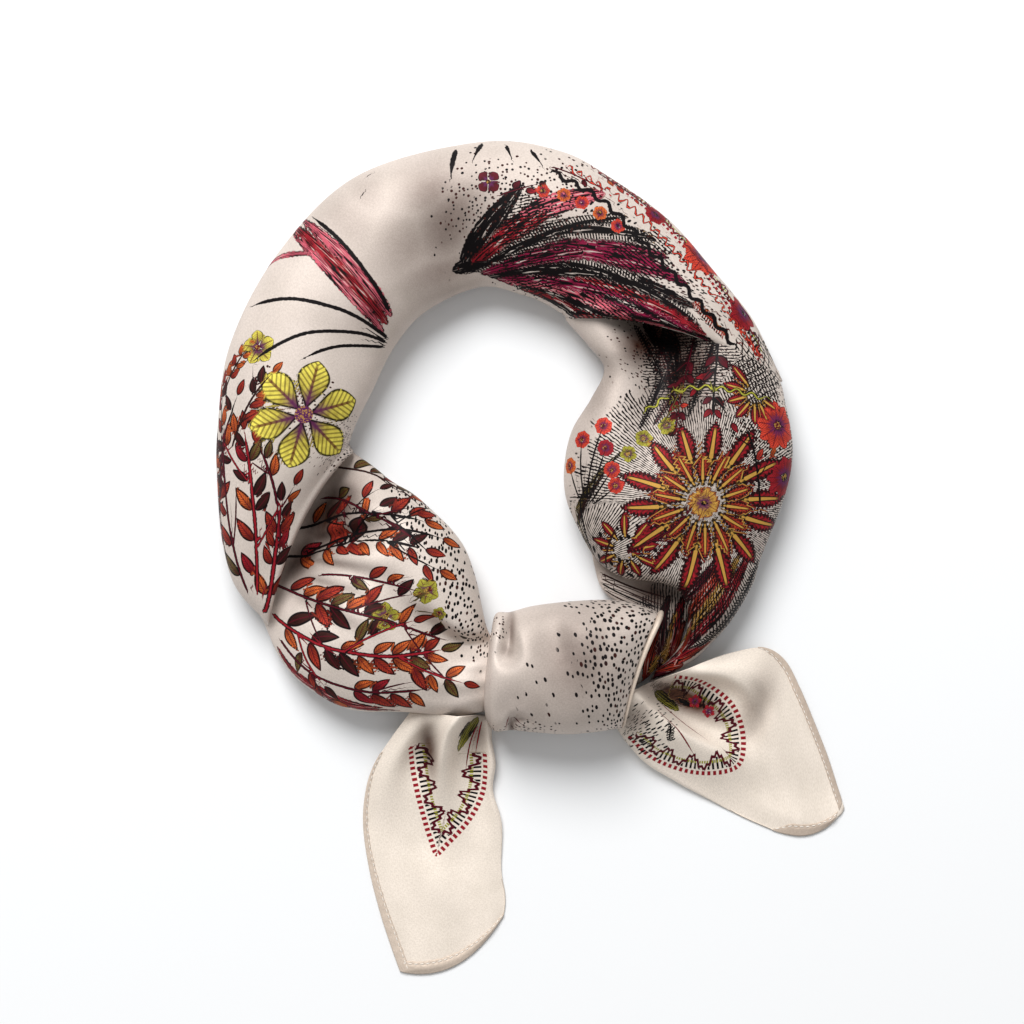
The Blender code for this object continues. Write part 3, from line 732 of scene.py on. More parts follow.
class printedCloth:  # what is printed on one piece, held at its points
    # A leaf's spot is how far along and across it a point lies, and how far outside its edge. A line's is how
    # far to its side, how far off and how far along, and a stroke's is along, across and outside. An ink's
    # fourth value is the kind of leaf or stroke.
    def __init__(self, made, seed):
        self.mesh = made.data
        count = len(self.mesh.vertices)
        self.points = np.empty(count * 3)
        self.mesh.vertices.foreach_get("co", self.points)
        self.points = self.points.reshape(-1, 3) / mm
        faces = [tuple(face.vertices) for face in self.mesh.polygons]
        self.tree = BVHTree.FromPolygons([tuple(point) for point in self.points], faces)
        self.nearest = KDTree(count)
        for k, point in enumerate(self.points):
            self.nearest.insert(tuple(point), k)
        self.nearest.balance()
        self.chance = random.Random(seed)
        self.leafSpot = np.tile([0.0, 0.0, bare], (count, 1))
        self.lineSpot = np.tile([bare, bare, 0.0], (count, 1))
        self.strokeSpot = np.tile([0.0, 0.0, bare], (count, 1))
        self.leafInk, self.lineInk, self.strokeInk, self.areas = (np.zeros((count, 4)) for _ in range(4))
        # the last of them holds the painted shade of hollows, pockets and slopes turned from the light
        self.hatch, self.paintedShade = np.zeros(count), np.zeros(count)

    def ground(self, x, y):  # the point of the cloth's top at a place seen from above
        spot, normal, _, _ = self.tree.ray_cast(Vector((x, y, overhead)), down)
        return spot, normal

    def walk(self, x, y, heading, bend, length, step=1.2):  # a line that goes over the cloth
        spot, normal = self.ground(x, y)
        if spot is None:
            return []
        way = Vector((math.cos(math.radians(heading)), math.sin(math.radians(heading)), 0))
        line = []
        turn = math.radians(bend) * step / 10
        for k in range(max(2, round(length / step))):
            way = (way - normal * way.dot(normal)).normalized()
            line.append((spot.copy(), way.copy(), normal.copy()))
            way = Matrix.Rotation(turn * (1 + 0.6 * math.sin(k * 0.31 + length)), 3, normal) @ way
            nearest = self.tree.find_nearest(spot + way * step)
            if nearest[0] is None:
                break
            spot, normal = nearest[0], nearest[1]
        return line

    def through(self, places, swing=0.0, beat=1.0):  # a line over the cloth through places seen from above
        line = smoothBetween(np.array(places, float), np.linspace(0, len(places) - 1, 40 * len(places)))
        if swing:  # it waves from side to side
            ahead = np.gradient(line, axis=0)
            long = np.linalg.norm(ahead, axis=1)
            wave = swing * np.sin(np.cumsum(long) * math.tau / beat)
            line = line + np.stack([-ahead[:, 1], ahead[:, 0]], -1) / long[:, None] * wave[:, None]
        spots = [self.ground(*place) for place in line]
        spots = [(spot, normal) for spot, normal in spots if spot is not None]
        made = []
        for (spot, normal), (ahead, _) in zip(spots, spots[1:]):
            if (ahead - spot).length > 1e-3:
                made.append((spot, (ahead - spot).normalized(), normal))
        return made

    def leaf(self, root, way, normal, length, width, ink, kind=0.0, curl=0.0):
        offset = self.points - np.array(root)
        near = np.abs(offset).max(1) < length * 1.25 + 1.5
        if not near.any():
            return
        local = offset[near]
        across = np.array(normal.cross(way))
        t = local @ np.array(way) / length
        side = (local @ across - curl * length * np.clip(t, 0, 1.2) ** 2) / width
        off = np.abs(local @ np.array(normal))
        shape = np.sin(math.pi * np.clip(t, 0, 1) ** (0.8 + 0.8 * kind)) ** 0.8
        beyond = np.maximum(np.maximum(-t, t - 1), 0) * length
        outside = (np.abs(side) - shape) * width
        edge = np.maximum(outside, 0) + beyond
        edge = np.where(edge > 0, edge, outside)
        edge = np.where(off > 0.5 * length + 2, bare, edge)  # another layer of the cloth
        index = np.flatnonzero(near)
        closer = edge < self.leafSpot[index, 2]
        index = index[closer]
        self.leafSpot[index] = np.stack([t, side, edge], -1)[closer]
        self.leafInk[index] = (*inks[ink], kind)

    def beside(self, path, reach):  # for the points near a path: how far off, to the side and along
        places = np.array([tuple(spot) for spot, _, _ in path])
        low, high = places.min(0) - reach, places.max(0) + reach
        index = np.flatnonzero(((self.points > low) & (self.points < high)).all(1))
        local = self.points[index]
        off = np.full(len(index), 99.0)
        side, along = np.zeros(len(index)), np.zeros(len(index))
        run = 0.0
        for (spot, way, normal), (ahead, _, _) in zip(path, path[1:]):
            start, step = np.array(spot), np.array(ahead - spot)
            length = np.linalg.norm(step)
            offset = local - start
            t = np.clip(offset @ step / (length * length + 1e-9), 0, 1)
            gap = offset - t[:, None] * step
            distance = np.linalg.norm(gap, axis=1)
            nearer = distance < off
            off = np.where(nearer, distance, off)
            side = np.where(nearer, np.sign(gap @ np.array(normal.cross(way))) * distance, side)
            along = np.where(nearer, run + t * length, along)
            run += length
        return index, off, side, along, run

    def line(self, path, half, ink):  # an even line, drawn to a point at its far end
        if len(path) > 1:
            index, off, side, along, run = self.beside(path, half + 3.0)
            thinned = half * np.clip((run - along) / 6, 0.25, 1)
            nearest = off < self.lineSpot[index, 1]
            self.lineSpot[index[nearest]] = np.stack([side / thinned, off, along], -1)[nearest]
            self.lineInk[index[nearest]] = (*inks[ink], 0.0)

    def stroke(self, path, half, ink, kind=0.0, profile="brush"):
        if len(path) < 2:
            return
        index, off, side, along, run = self.beside(path, half + (3.0 if half < 9 else 0.5))
        if kind == border:  # it stops at its ends
            off = np.where((along < 0.05) | (along > run - 0.05), 99.0, off)
            self.strokeInk[index[self.strokeSpot[index, 2] >= bare]] = (*inks[ink], kind)
        wide = half
        if profile == "brush":
            wide = half * np.clip(np.sin(math.pi * np.clip(along / run, 0, 1) ** 0.7) ** 0.6, 0.05, 1)
        nearest = off - wide < self.strokeSpot[index, 2]
        self.strokeSpot[index[nearest]] = np.stack([along, side / wide, off - wide], -1)[nearest]
        self.strokeInk[index[nearest]] = (*inks[ink], kind)

    def vine(self, start, heading, bend, length, leafSize, gap, palette, stem="burgundy", half=0.42):
        path = self.walk(*start, heading, bend, length)
        self.line(path, half, stem)
        count = max(1, int(length / gap))
        for k in range(1, count + 1):
            place = min(len(path) - 1, round(k / count * (len(path) - 1)))
            if place < 1:
                continue
            spot, way, normal = path[place]
            for hand in ((1, -1) if k < count else (0,)):
                lean = math.radians(self.chance.uniform(36, 58)) * hand
                out = Matrix.Rotation(lean, 3, normal) @ way
                size = self.chance.uniform(0.82, 1.12) * (1 - 0.25 * k / count)
                root = spot + out * (half + 0.25)
                curl = -hand * self.chance.uniform(0.05, 0.28)
                ink = self.chance.choice(palettes[palette])
                shape = (root, out, normal, leafSize[0] * size, leafSize[1] * size)
                if self.isFree(*shape):
                    self.leaf(*shape, ink, 0.0, curl)

    def isFree(self, root, out, normal, length, half):  # no other leaf or stem lies where this one would
        across = normal.cross(out) * half
        for share, side in freeAround:
            _, k, _ = self.nearest.find(root + out * length * share + across * side)
            if self.leafSpot[k, 2] < 0.1 or self.lineSpot[k, 1] < 0.6:
                return False
        return True

    def branch(self, start, heading, bend, length, leafSize, gap, palette, stem, half, twigs):
        path = self.walk(*start, heading, bend, length)
        self.vine(start, heading, bend, length, leafSize, gap, palette, stem, half)
        for k in range(twigs):
            place = min(len(path) - 1, round((k + 0.7) / (twigs + 0.6) * len(path)))
            if place < 1:
                continue
            spot, way, _ = path[place]
            hand = 1 if k % 2 else -1
            aim = math.degrees(math.atan2(way.y, way.x)) + hand * self.chance.uniform(26, 44)
            long = length * self.chance.uniform(0.26, 0.42)
            smaller = (leafSize[0] * 0.85, leafSize[1] * 0.88)
            self.vine((spot.x, spot.y), aim, -hand * 5, long, smaller, gap * 0.9, palette, stem, half * 0.6)

    def bloom(self, start, heading, bend, length, petals, size, ink, stem="black"):
        path = self.walk(*start, heading, bend, length)
        self.line(path, 0.34, stem)
        if len(path) > 2:
            self.flower(path[-1][0].x, path[-1][0].y, petals, size, size * 0.36, ink, "burgundy", heading)

    def flower(self, x, y, petals, length, width, ink, heart="plum", turn=0.0):
        spot, normal = self.ground(x, y)
        if spot is None:
            return
        east = (Vector((1, 0, 0)) - normal * normal.x).normalized()
        for k in range(petals):
            way = Matrix.Rotation(math.tau * k / petals + turn, 3, normal) @ east
            self.leaf(spot + way * length * 0.07, way, normal, length, width, ink, petal)
        if heart:
            dab = self.walk(x - 0.3, y, 0, 0, 0.6, 0.3)
            self.stroke(dab, max(0.9, 0.17 * length), heart, flowerHeart, "even")

    def fronds(self, x, y, first, last, count, away, length, half, ink):  # narrow leaves, as a fan or a star
        for k in range(count):
            heading = first + (last - first) * k / (count - 1)
            path = self.walk(x, y, heading, 0, away + 1, 0.6)
            if len(path) < away / 0.6:
                continue
            spot, way, normal = path[-1]
            size = self.chance.uniform(0.84, 1.12)
            self.leaf(spot, way, normal, length * size, half, ink, frond, self.chance.uniform(-0.1, 0.1))

    def within(self, x, y, wide, high, turn):  # 0 at the middle of an ellipse and 1 on it, and how far ahead
        c, s = math.cos(math.radians(turn)), math.sin(math.radians(turn))
        dx, dy = self.points[:, 0] - x, self.points[:, 1] - y
        ahead = dx * c + dy * s
        return (ahead / wide) ** 2 + ((dy * c - dx * s) / high) ** 2, ahead

    def patch(self, x, y, wide, high, turn, amount, kind, rays=0.0, source=None):
        far, ahead = self.within(x, y, wide, high, turn)
        rim = np.clip(1.5 * (1 - far), 0, 1) if kind == latticed else np.exp(-(far**1.5))
        wanted = amount * rim * (self.points[:, 2] > 3)
        if kind == hatched:  # even lines at right angles to the turn, or rays from a source
            phase = ahead / 1.15
            if source:
                phase = np.arctan2(self.points[:, 1] - source[1], self.points[:, 0] - source[0]) * rays
            self.hatch = np.where(wanted > self.areas[:, hatched], phase, self.hatch)
        self.areas[:, kind] = np.maximum(self.areas[:, kind], wanted)

    def shade(self, x, y, wide, high, turn, amount):  # paints shade: a soft darkening under the drawing, for hollows, pockets, creases and slopes turned from the light
        self.paintedShade = np.maximum(self.paintedShade, amount * np.exp(-self.within(x, y, wide, high, turn)[0]))

    def store(self):
        kinds = {1: ("FLOAT", "value"), 3: ("FLOAT_VECTOR", "vector"), 4: ("FLOAT_COLOR", "color")}
        for name in printed:
            values = getattr(self, name).astype(np.float32).reshape(len(self.points), -1)
            kind, part = kinds[values.shape[1]]
            self.mesh.attributes.new(name, kind, "POINT").data.foreach_set(part, values.ravel())


def printOn(made, design, seed):
    art = printedCloth(made, seed)
    for start, heading, bend, length, half, ink, *kind in design.get("strokes", ()):
        art.stroke(art.walk(*start, heading, bend, length), half, ink, *kind)
    for start, heading, bend, length, half, ink in design.get("lines", ()):
        art.line(art.walk(*start, heading, bend, length), half, ink)
    for places, swing, beat, half, ink in design.get("waves", ()):
        art.line(art.through(places, swing, beat), half, ink)
    for kind, draw in (
        ("fronds", art.fronds),
        ("branches", art.branch),
        ("blooms", art.bloom),
        ("flowers", art.flower),
        ("patches", art.patch),
        ("paintedShades", art.shade),
    ):
        for row in design.get(kind, ()):
            draw(*row)
    for places, half in design.get("borders", ()):
        art.stroke(art.through(places), half, "burgundy", border, "even")
    art.store()
    print(f"{made.name}: printed")


outerPrint = {
    "strokes": [  # start, heading, bend for each 10 mm, length, half width, ink, at times a kind
        ((-54.5, 94), 127, 3, 62, 2.8, "pink"),
        ((-57.5, 88), 134, 1, 60, 2.2, "pink"),
        ((-56, 91), 131, 2, 70, 2.9, "crimson"),
        ((-84, 118), 168, 10, 34, 1.3, "pink"),
        ((-27, 114), 62, -3, 42, 4.6, "black"),
        ((-25, 113), 50, -4, 56, 4.6, "crimson"),
        ((-22, 112), 40, -4.5, 66, 4.2, "black", combed),
        ((-20, 111), 31, -4.8, 78, 4.4, "magenta"),
        ((-17, 110), 23, -5, 86, 4.2, "black"),
        ((-14, 109), 16, -5.0, 92, 4.2, "magenta"),
        ((-11, 108), 9, -5.0, 96, 4.2, "pink"),
        ((-8, 107), 3, -5.2, 92, 4.2, "black", combed),
        ((-5, 105.5), -2, -5.2, 86, 3.8, "crimson"),
        ((0, 104), -8, -5, 78, 3.4, "black"),
        ((-31, 112), 24, -8, 26, 3.4, "black"),
        ((-6, 131), 26, -4, 42, 4.4, "pink"),
        ((2, 126), 10, -5, 52, 4.4, "black", combed),
        ((6, 121), 0, -5, 58, 4.6, "magenta"),
        ((10, 115), -8, -5, 62, 4.4, "black", combed),
        ((14, 110), -12, -4, 60, 4.2, "crimson"),
        ((20, 105), -15, -3.5, 54, 3.8, "black"),
        ((26, 101), -14, -3, 46, 3.0, "magenta"),
        ((62, 100), -42, -3, 34, 2.6, "rust", combed),
    ],
    "lines": [  # start, heading, bend, length, half width, ink
        ((-56, 97), 118, 5, 50, 0.8, "black"),
        ((-57, 86.5), 143, 9, 60, 0.75, "black"),
        ((-57.5, 84.5), 150, 12, 56, 0.7, "black"),
        ((-58.5, 82.5), 162, 12, 34, 0.65, "black"),
        ((-30, 158), -96, 6, 13, 1.1, "black"),
        ((-20, 161), -100, 4, 9, 1.0, "black"),
        ((-10, 160), -80, 4, 7, 0.9, "black"),
        ((0, 158), -70, 4, 8, 0.9, "black"),
        ((-64, 149), 40, 20, 3, 0.9, "black"),
        ((-66, 141), 60, 20, 3, 0.9, "black"),
    ],
    "waves": [  # places, swing, beat, half width, ink
        ([(8, 150), (28, 138), (44, 121), (60, 104), (74, 88), (86, 72)], 1.1, 7.5, 0.75, "black"),
        ([(14, 152), (34, 140), (50, 125), (65, 108), (79, 91), (90, 76)], 1.5, 4.2, 0.3, "coral"),
        ([(22, 154), (42, 140), (60, 122), (75, 103), (88, 84)], 0.9, 3.4, 0.28, "crimson"),
    ],
    "branches": [  # start, heading, bend, length, leaf, gap, palette, stem, half width, twigs
        ((-104, -20), 69, 3, 44, (10.4, 2.4), 6.2, "autumn", "crimson", 1.0, 0),
        ((-107, -12), 86, 2, 64, (11.2, 2.5), 6.2, "autumn", "crimson", 0.8, 2),
        ((-111, -12), 101, -1, 66, (10.8, 2.5), 6.0, "autumn", "burgundy", 0.6, 2),
        ((-119, 0), 94, -4, 66, (10.4, 2.4), 5.8, "autumn", "black", 0.5, 2),
        ((-98, 8), 98, 6, 40, (10.4, 2.4), 5.8, "autumn", "burgundy", 0.6, 2),
        ((-116, 44), 70, -8, 34, (8.6, 2.2), 5.2, "autumn", "brown", 0.45, 2),
        ((-121, 26), 84, -6, 34, (8.6, 2.2), 5.2, "autumn", "burgundy", 0.45, 1),
        ((-119, 66), 62, -10, 20, (6.0, 1.7), 5.0, "autumn", "brown", 0.4, 0),
        ((-12, 141), 20, -6, 16, (4.6, 1.8), 5.0, "dark", "burgundy", 0.4, 0),
        ((26, 150), -28, -4, 30, (4.0, 1.4), 4.0, "bud", "black", 0.35, 0),
        ((8, 152), -16, -4, 26, (3.6, 1.2), 4.0, "dark", "burgundy", 0.35, 0),
    ],
    "flowers": [  # place, petals, length, half width, ink, heart, turn
        (-88, 56, 6, 20, 6.4, "yellow", "plum", 0.25),
        (-78, 29, 5, 11, 4.0, "yellow", "plum", 0.9),
        (-106, 82, 5, 6.5, 2.6, "yellow", "burgundy", 0.4),
        (-17, 146, 4, 4.6, 2.1, "burgundy", "brown", 0.8),
        (66, 118, 11, 9.5, 2.2, "coral", "crimson", 0.1),
        (82, 96, 9, 7.0, 2.0, "crimson", "black", 0.3),
        (4, 142.5, 6, 2.6, 1.0, "coral", "brown", 0.1),
        (12, 141, 6, 2.7, 1.0, "orange", "brown", 0.5),
        (19, 138, 6, 2.7, 1.0, "coral", "brown", 0.9),
        (26, 134, 6, 2.8, 1.0, "orange", "brown", 0.2),
        (33, 129, 6, 2.8, 1.0, "coral", "brown", 0.6),
        (48, 134, 8, 4.6, 1.5, "crimson", "brown", 0.3),
    ],
    "patches": [  # place, wide, high, turn, amount, kind, and for rays their number and source
        (-4, 134, 26, 20, 0, 1.0, dotted),
        (-78, 50, 9, 24, 24, 0.8, dotted),
        (-98, 60, 8, 12, 20, 0.6, dotted),
        (58, 108, 20, 9, -40, 0.9, dotted),
        (86, 80, 11, 8, -60, 1.0, latticed),
        (36, 128, 20, 5, -34, 0.8, dashed),
        (34, 105.5, 27, 12, 50, 1.3, hatched),
        (0, 122, 22, 14, 100, 1.0, hatched),
    ],
    "borders": [([(27, 149), (47, 133), (63, 115), (77, 95), (88, 76)], 8.0)],
    # painted shade: the darker inner slopes and dents of the roll's top, where the satin turns from the
    # light, and a dimmed spot on the bright upper left
    "paintedShades": [
        (-64, 141, 10, 10, 0, 0.3),
        (14, 124, 22, 14, 20, 0.3),
        (-32, 131, 23, 15, 60, 0.74),
        (-47, 122, 19, 15, 50, 0.5),
        (-38, 142, 16, 13, 20, 0.64),
        (-34, 112, 22, 9, 20, 0.62),
        (-62, 96, 14, 9, 50, 0.4),
        (-71, 130, 12, 15, 40, 0.34),
    ],
}
lowerPrint = {
    "strokes": [((-100, -34), -36, 2, 60, 1.8, "crimson"), ((-92, -44), -30, 4, 40, 2.2, "crimson")],
    "branches": [
        ((-101, -22), -30, 6, 76, (12.6, 2.8), 6.8, "autumn", "crimson", 0.85, 3),
        ((-98, -32), -38, 7, 66, (12.0, 2.7), 6.8, "autumn", "burgundy", 0.6, 2),
        ((-101, -10), -12, 2, 80, (12.6, 2.8), 6.8, "autumn", "burgundy", 0.6, 3),
        ((-98, 1), 0, -2, 66, (11.6, 2.6), 6.6, "autumn", "black", 0.55, 3),
        ((-92, 12), 12, -6, 60, (11.6, 2.6), 6.6, "autumn", "black", 0.55, 3),
        ((-82, 24), 8, -7, 50, (11.2, 2.5), 6.4, "autumn", "burgundy", 0.5, 2),
        ((-76, 36), -14, -6, 40, (10.4, 2.4), 6.2, "autumn", "brown", 0.45, 1),
        ((-88, 4), -4, -3, 62, (11.0, 2.5), 6.4, "autumn", "black", 0.5, 2),
        ((-82, -6), -8, -1, 42, (10.6, 2.5), 6.2, "autumn", "burgundy", 0.5, 2),
    ],
    "flowers": [
        (-57, -22, 5, 5.6, 2.2, "green", "olive", 0.3),
        (-41, -12, 5, 4.8, 1.9, "green", "olive", 0.8),
    ],
    "blooms": [
        ((-46, -16), 40, 8, 10, 5, 2.6, "green", "olive"),
        ((-44, -20), 10, 8, 10, 5, 2.6, "green", "olive"),
    ],
    "patches": [
        (-40, 9, 28, 7, -62, 1.8, dashed),
        (-31, -10, 24, 5.5, -72, 1.8, dashed),
        (-23, -26, 12, 4, -60, 1.3, dashed),
    ],
    # painted shade: the deep pocket under the outer roll's fold edge, and thin lines of shade along its
    # creases
    "paintedShades": [
        (-79, 17, 19, 10.5, 56, 1.0),
        (-90, 1, 15, 6.5, 60, 0.9),
        (-74, 9, 17, 2.4, 14, 0.75),
        (-80, -1, 18, 2.0, -8, 0.65),
        (-84, -8, 16, 1.8, -16, 0.5),
        (-80, -20, 18, 2.5, -24, 0.35),
    ],
}
limbPrint = {
    "strokes": [
        ((17, 18), 44, -3, 34, 1.6, "olive"),
        ((18, 13), 40, -3, 36, 1.4, "brown"),
        ((40, 92), -78, 2, 34, 2.8, "black", combed),
        ((48, 92), -80, -2, 42, 2.8, "burgundy", combed),
        ((56, 88), -86, -3, 46, 2.6, "black", combed),
        ((63, 90), -94, -3, 44, 2.6, "burgundy", combed),
        ((71, 90), -98, -3, 40, 2.4, "black", combed),
        # black print in the hollow under the lip, laid there also to deepen its shade
        ((52, 92), -60, -4, 30, 3.6, "black"),
        ((44, 94), -64, -4, 22, 3.2, "black"),
        ((84, 2), 246, -4, 58, 2.8, "crimson"),
        ((80, 2), 244, -4, 56, 2.4, "gold"),
        ((76, 2), 242, -5, 54, 2.8, "rust"),
        ((71, 0), 240, -6, 50, 2.4, "burgundy"),
        ((88, 0), 248, -4, 60, 2.8, "black", combed),
        ((91, -2), 250, -4, 54, 2.4, "rust"),
        ((62, -24), 228, 0, 30, 2.6, "rust"),
        ((68, -24), 230, 0, 36, 2.4, "burgundy"),
        ((57, -34), 230, 0, 16, 2.2, "crimson"),
        ((59, -41), 214, 0, 18, 2.6, "rust"),
        ((56, -43.5), 208, 0, 14, 2.2, "burgundy"),
        ((66, -33), 222, 0, 26, 2.6, "crimson"),
        ((70, -31), 222, 0, 32, 2.0, "rust"),
        ((73, -32), 220, 0, 30, 1.6, "black", combed),
    ],
    "lines": [
        ((26, -1), 74, -6, 26, 0.5, "olive"),
        ((24, 2), 80, -6, 26, 0.45, "black"),
        ((29, -3), 62, -6, 24, 0.4, "brown"),
    ],
    "waves": [([(44, 58), (58, 66), (74, 66), (92, 62)], 0.9, 6.0, 0.6, "green")],
    "branches": [
        ((62, 82), -88, 2, 38, (6.4, 1.9), 5.0, "dark", "burgundy", 0.45, 2),
        ((72, 84), -94, 2, 34, (6.2, 1.8), 5.0, "dark", "black", 0.45, 2),
        ((50, 52), 60, 6, 24, (6.0, 1.7), 5.0, "bud", "olive", 0.4, 2),
        ((38, 4), 20, 12, 34, (7.0, 1.9), 5.4, "ember", "burgundy", 0.5, 2),
        ((88, 22), 96, 6, 34, (6.4, 1.8), 5.0, "bud", "black", 0.45, 2),
    ],
    "fronds": [  # middle, first and last direction, how many, distance from it, length, half width, ink
        (66, 22, 4, 340, 14, 12, 23, 4.2, "crimson"),
        (66, 22, 16, 352, 14, 5, 17, 2.9, "rust"),
        (92, -2, 60, 300, 8, 3, 12, 2.6, "crimson"),
        (36, 4, 10, 330, 9, 3, 11, 2.3, "crimson"),
        (86, 64, 130, 330, 7, 2, 12, 2.4, "crimson"),
    ],
    "flowers": [
        (66, 22, 10, 5.4, 1.5, "gold", "black", 0.1),
        (95, 52, 9, 9.0, 2.6, "coral", "burgundy", 0.3),
        (98, 32, 9, 8.0, 2.4, "crimson", "black", 0.9),
        (52, 52, 5, 3.6, 1.5, "green", "olive", 0.5),
        (43, 47, 5, 3.4, 1.4, "green", "olive", 0.1),
        (37, 41, 5, 3.2, 1.3, "green", "olive", 0.9),
    ],
    "blooms": [
        ((20, 24), 100, -4, 24, 7, 3.4, "coral", "black"),
        ((21, 24), 82, -4, 30, 7, 3.4, "coral", "black"),
        ((22, 24), 66, 4, 22, 7, 3.2, "crimson", "black"),
        ((23, 23), 50, 8, 16, 7, 3.2, "coral", "black"),
        ((18, 24), 118, -4, 15, 7, 3.2, "orange", "black"),
        ((24, 22), 30, 12, 12, 7, 3.0, "coral", "black"),
    ],
    "patches": [
        (66, 22, 46, 48, 0, 1.5, hatched, 36, (66, 22)),
        (34, 12, 20, 15, 20, 1.4, hatched, 26, (16, -4)),
        (62, 74, 17, 20, 90, 1.2, hatched),
        (82, 64, 14, 16, 20, 1.2, hatched),
        (60, 80, 22, 20, 0, 1.0, dotted),
        (90, 44, 14, 40, 0, 1.0, dotted),
        (86, 70, 11, 12, 0, 1.0, latticed),
        (32, 2, 20, 10, 0, 1.0, dashed),
    ],
    # painted shade: the deep hollow under the lip, also standing in for the dark print there, the valley
    # below it, the inner strip and the lower right
    "paintedShades": [
        (52, 88, 20, 15, -40, 1.0),
        (43, 84, 12, 11, 0, 1.0),
        (59, 73, 14, 23, -14, 0.92),
        (26, 66, 9, 22, -20, 0.4),
        (72, -24, 22, 14, 60, 0.5),
        (20, 30, 7, 30, 0, 0.25),
    ],
}
innerPrint = {
    "strokes": [
        ((60, -14), -118, 10, 46, 2.4, "crimson"),
        ((58, -18), -118, 10, 44, 2.0, "gold"),
        ((60, -24), -118, 10, 40, 2.4, "rust"),
        ((54, -14), -116, 10, 44, 2.2, "burgundy"),
        ((62, -28), -120, 10, 34, 2.0, "gold"),
        ((50, -26), -112, 6, 30, 2.4, "rust"),
        ((46, -24), -110, 4, 28, 2.2, "burgundy"),
        ((43, -28), -105, 4, 24, 2.4, "crimson"),
        ((53, -34), -125, 4, 18, 2.0, "gold"),
    ],
    "lines": [
        ((28, -6), -26, 6, 30, 0.35, "brown"),
        ((28, -8), -26, 6, 28, 0.3, "brown"),
        ((28, -10), -24, 6, 28, 0.35, "black"),
        ((29, -12.5), -20, 6, 24, 0.3, "brown"),
    ],
    "patches": [(52, -20, 12, 12, 0, 0.9, hatched)],
    # painted shade: the contact shadow along the band's top edge under the belly, and its hollows
    "paintedShades": [(56, -30, 12, 14, 0, 0.75), (48, -14, 13, 8, -20, 0.9), (32, -5, 14, 4, -20, 0.5)],
}
knotPrint = {
    "lines": [((-9.6, -61.5), -74, 14, 7, 0.4, "crimson"), ((-7, -61), -20, -10, 7, 0.3, "burgundy")],
    "patches": [
        (40, -42, 20, 60, 8, 1.2, dashed),
        (25, -41, 9, 13, 0, 1.0, dashed),
        (-13, -27, 3, 6, 0, 0.7, dotted),
        (6, -52, 22, 14, 0, 0.1, dashed),
        (-2, -66, 12, 4, 0, 0.7, dotted),
    ],
    # painted shade: the dark middle of the knot where the satin turns from the light, its pleat, the U at the
    # pleat's end and the small frill below
    "paintedShades": [
        (17, -38, 19, 22, 0, 0.66),
        (0, -54, 15, 12, 0, 0.32),
        (-8.3, -27, 1.5, 9, 0, 0.7),
        (-9.6, -35, 2.8, 3.0, 20, 0.55),
        (-8.3, -65, 1.2, 4, 0, 0.85),
        (-5.5, -62, 3, 1.3, 10, 0.7),
    ],
}
leftPrint = {
    "strokes": [((-21.6, -61.5), -87, 0, 18, 3.4, "green"), ((-24.5, -63), -96, 6, 9, 1.3, "black")],
    "lines": [((-22, -66), -100, 8, 20, 0.3, "crimson"), ((-20, -64), -96, 6, 16, 0.3, "crimson")],
    # painted shade: the hollows on both sides of the tube
    "paintedShades": [(-21.5, -68, 4.5, 11, -4, 0.7), (-40.6, -74, 3.6, 12, 6, 0.95)],
    "borders": [
        (
            [
                (-48.8, -74), (-48, -84), (-45.5, -96), (-41.5, -110), (-38, -117.5), (-32, -112.5),
                (-24, -103.5), (-19, -94), (-17.6, -85), (-17.8, -76),
            ],
            12.0,
        )
    ],
}
rightPrint = {
    "strokes": [
        ((48, -52), -30, -2, 14, 2.6, "green"),
        ((53.5, -71), 84, 4, 11, 1.5, "black", combed),
        ((57, -54), -34, 0, 9, 1.5, "black"),
    ],
    "lines": [((52, -58), -30, -4, 22, 0.3, "crimson"), ((50, -60), -30, -4, 24, 0.3, "crimson")],
    "flowers": [
        (64, -56, 5, 2.7, 0.85, "crimson", None, 0.2),
        (69.5, -60, 5, 2.5, 0.8, "crimson", None, 0.7),
    ],
    "patches": [(45, -67, 9, 9, -50, 1.3, dashed), (54, -53, 9, 4, -30, 1.0, hatched, 22, (44, -52))],
    # painted shade: the hollow behind the front tube and the valley beyond it
    "paintedShades": [(60, -55, 20, 6.0, -24, 1.15), (40, -62, 6, 8, -30, 0.6), (88, -58, 7, 17, -20, 0.5)],
    "borders": [
        (
            [
                (37, -70), (47, -79), (62, -84.5), (76, -84.5), (83, -80), (84, -68), (79, -56),
                (67, -47.5), (53, -44.5),
            ],
            12.0,
        )
    ],
}
for made, design, seed in (
    (outer, outerPrint, 5),
    (lower, lowerPrint, 6),
    (limb, limbPrint, 7),
    (inner, innerPrint, 8),
    (knot, knotPrint, 9),
    (left, leftPrint, 10),
    (right, rightPrint, 11),
):
    printOn(made, design, seed)


class field:  # a value that changes over the cloth, reckoned with like a number
    def __init__(self, art, socket):
        self.art, self.socket = art, socket

    def by(self, operation, *others):
        return self.art.calc(operation, self, *others)

    def __add__(self, other):
        return self.by("ADD", other)

    def __sub__(self, other):
        return self.by("SUBTRACT", other)

    def __mul__(self, other):
        return self.by("MULTIPLY", other)

    def __truediv__(self, other):
        return self.by("DIVIDE", other)

    def __abs__(self):
        return self.by("ABSOLUTE")

    def step(self, start, end):  # 0 below start, 1 past end, or the other way round
        given = {"Value": self, "From Min": start, "From Max": end}
        return self.art.place("ShaderNodeMapRange", "Result", given)

    def near(self, kind):
        return self.step(kind - 0.1, kind - 0.05) * self.step(kind + 0.1, kind + 0.05)


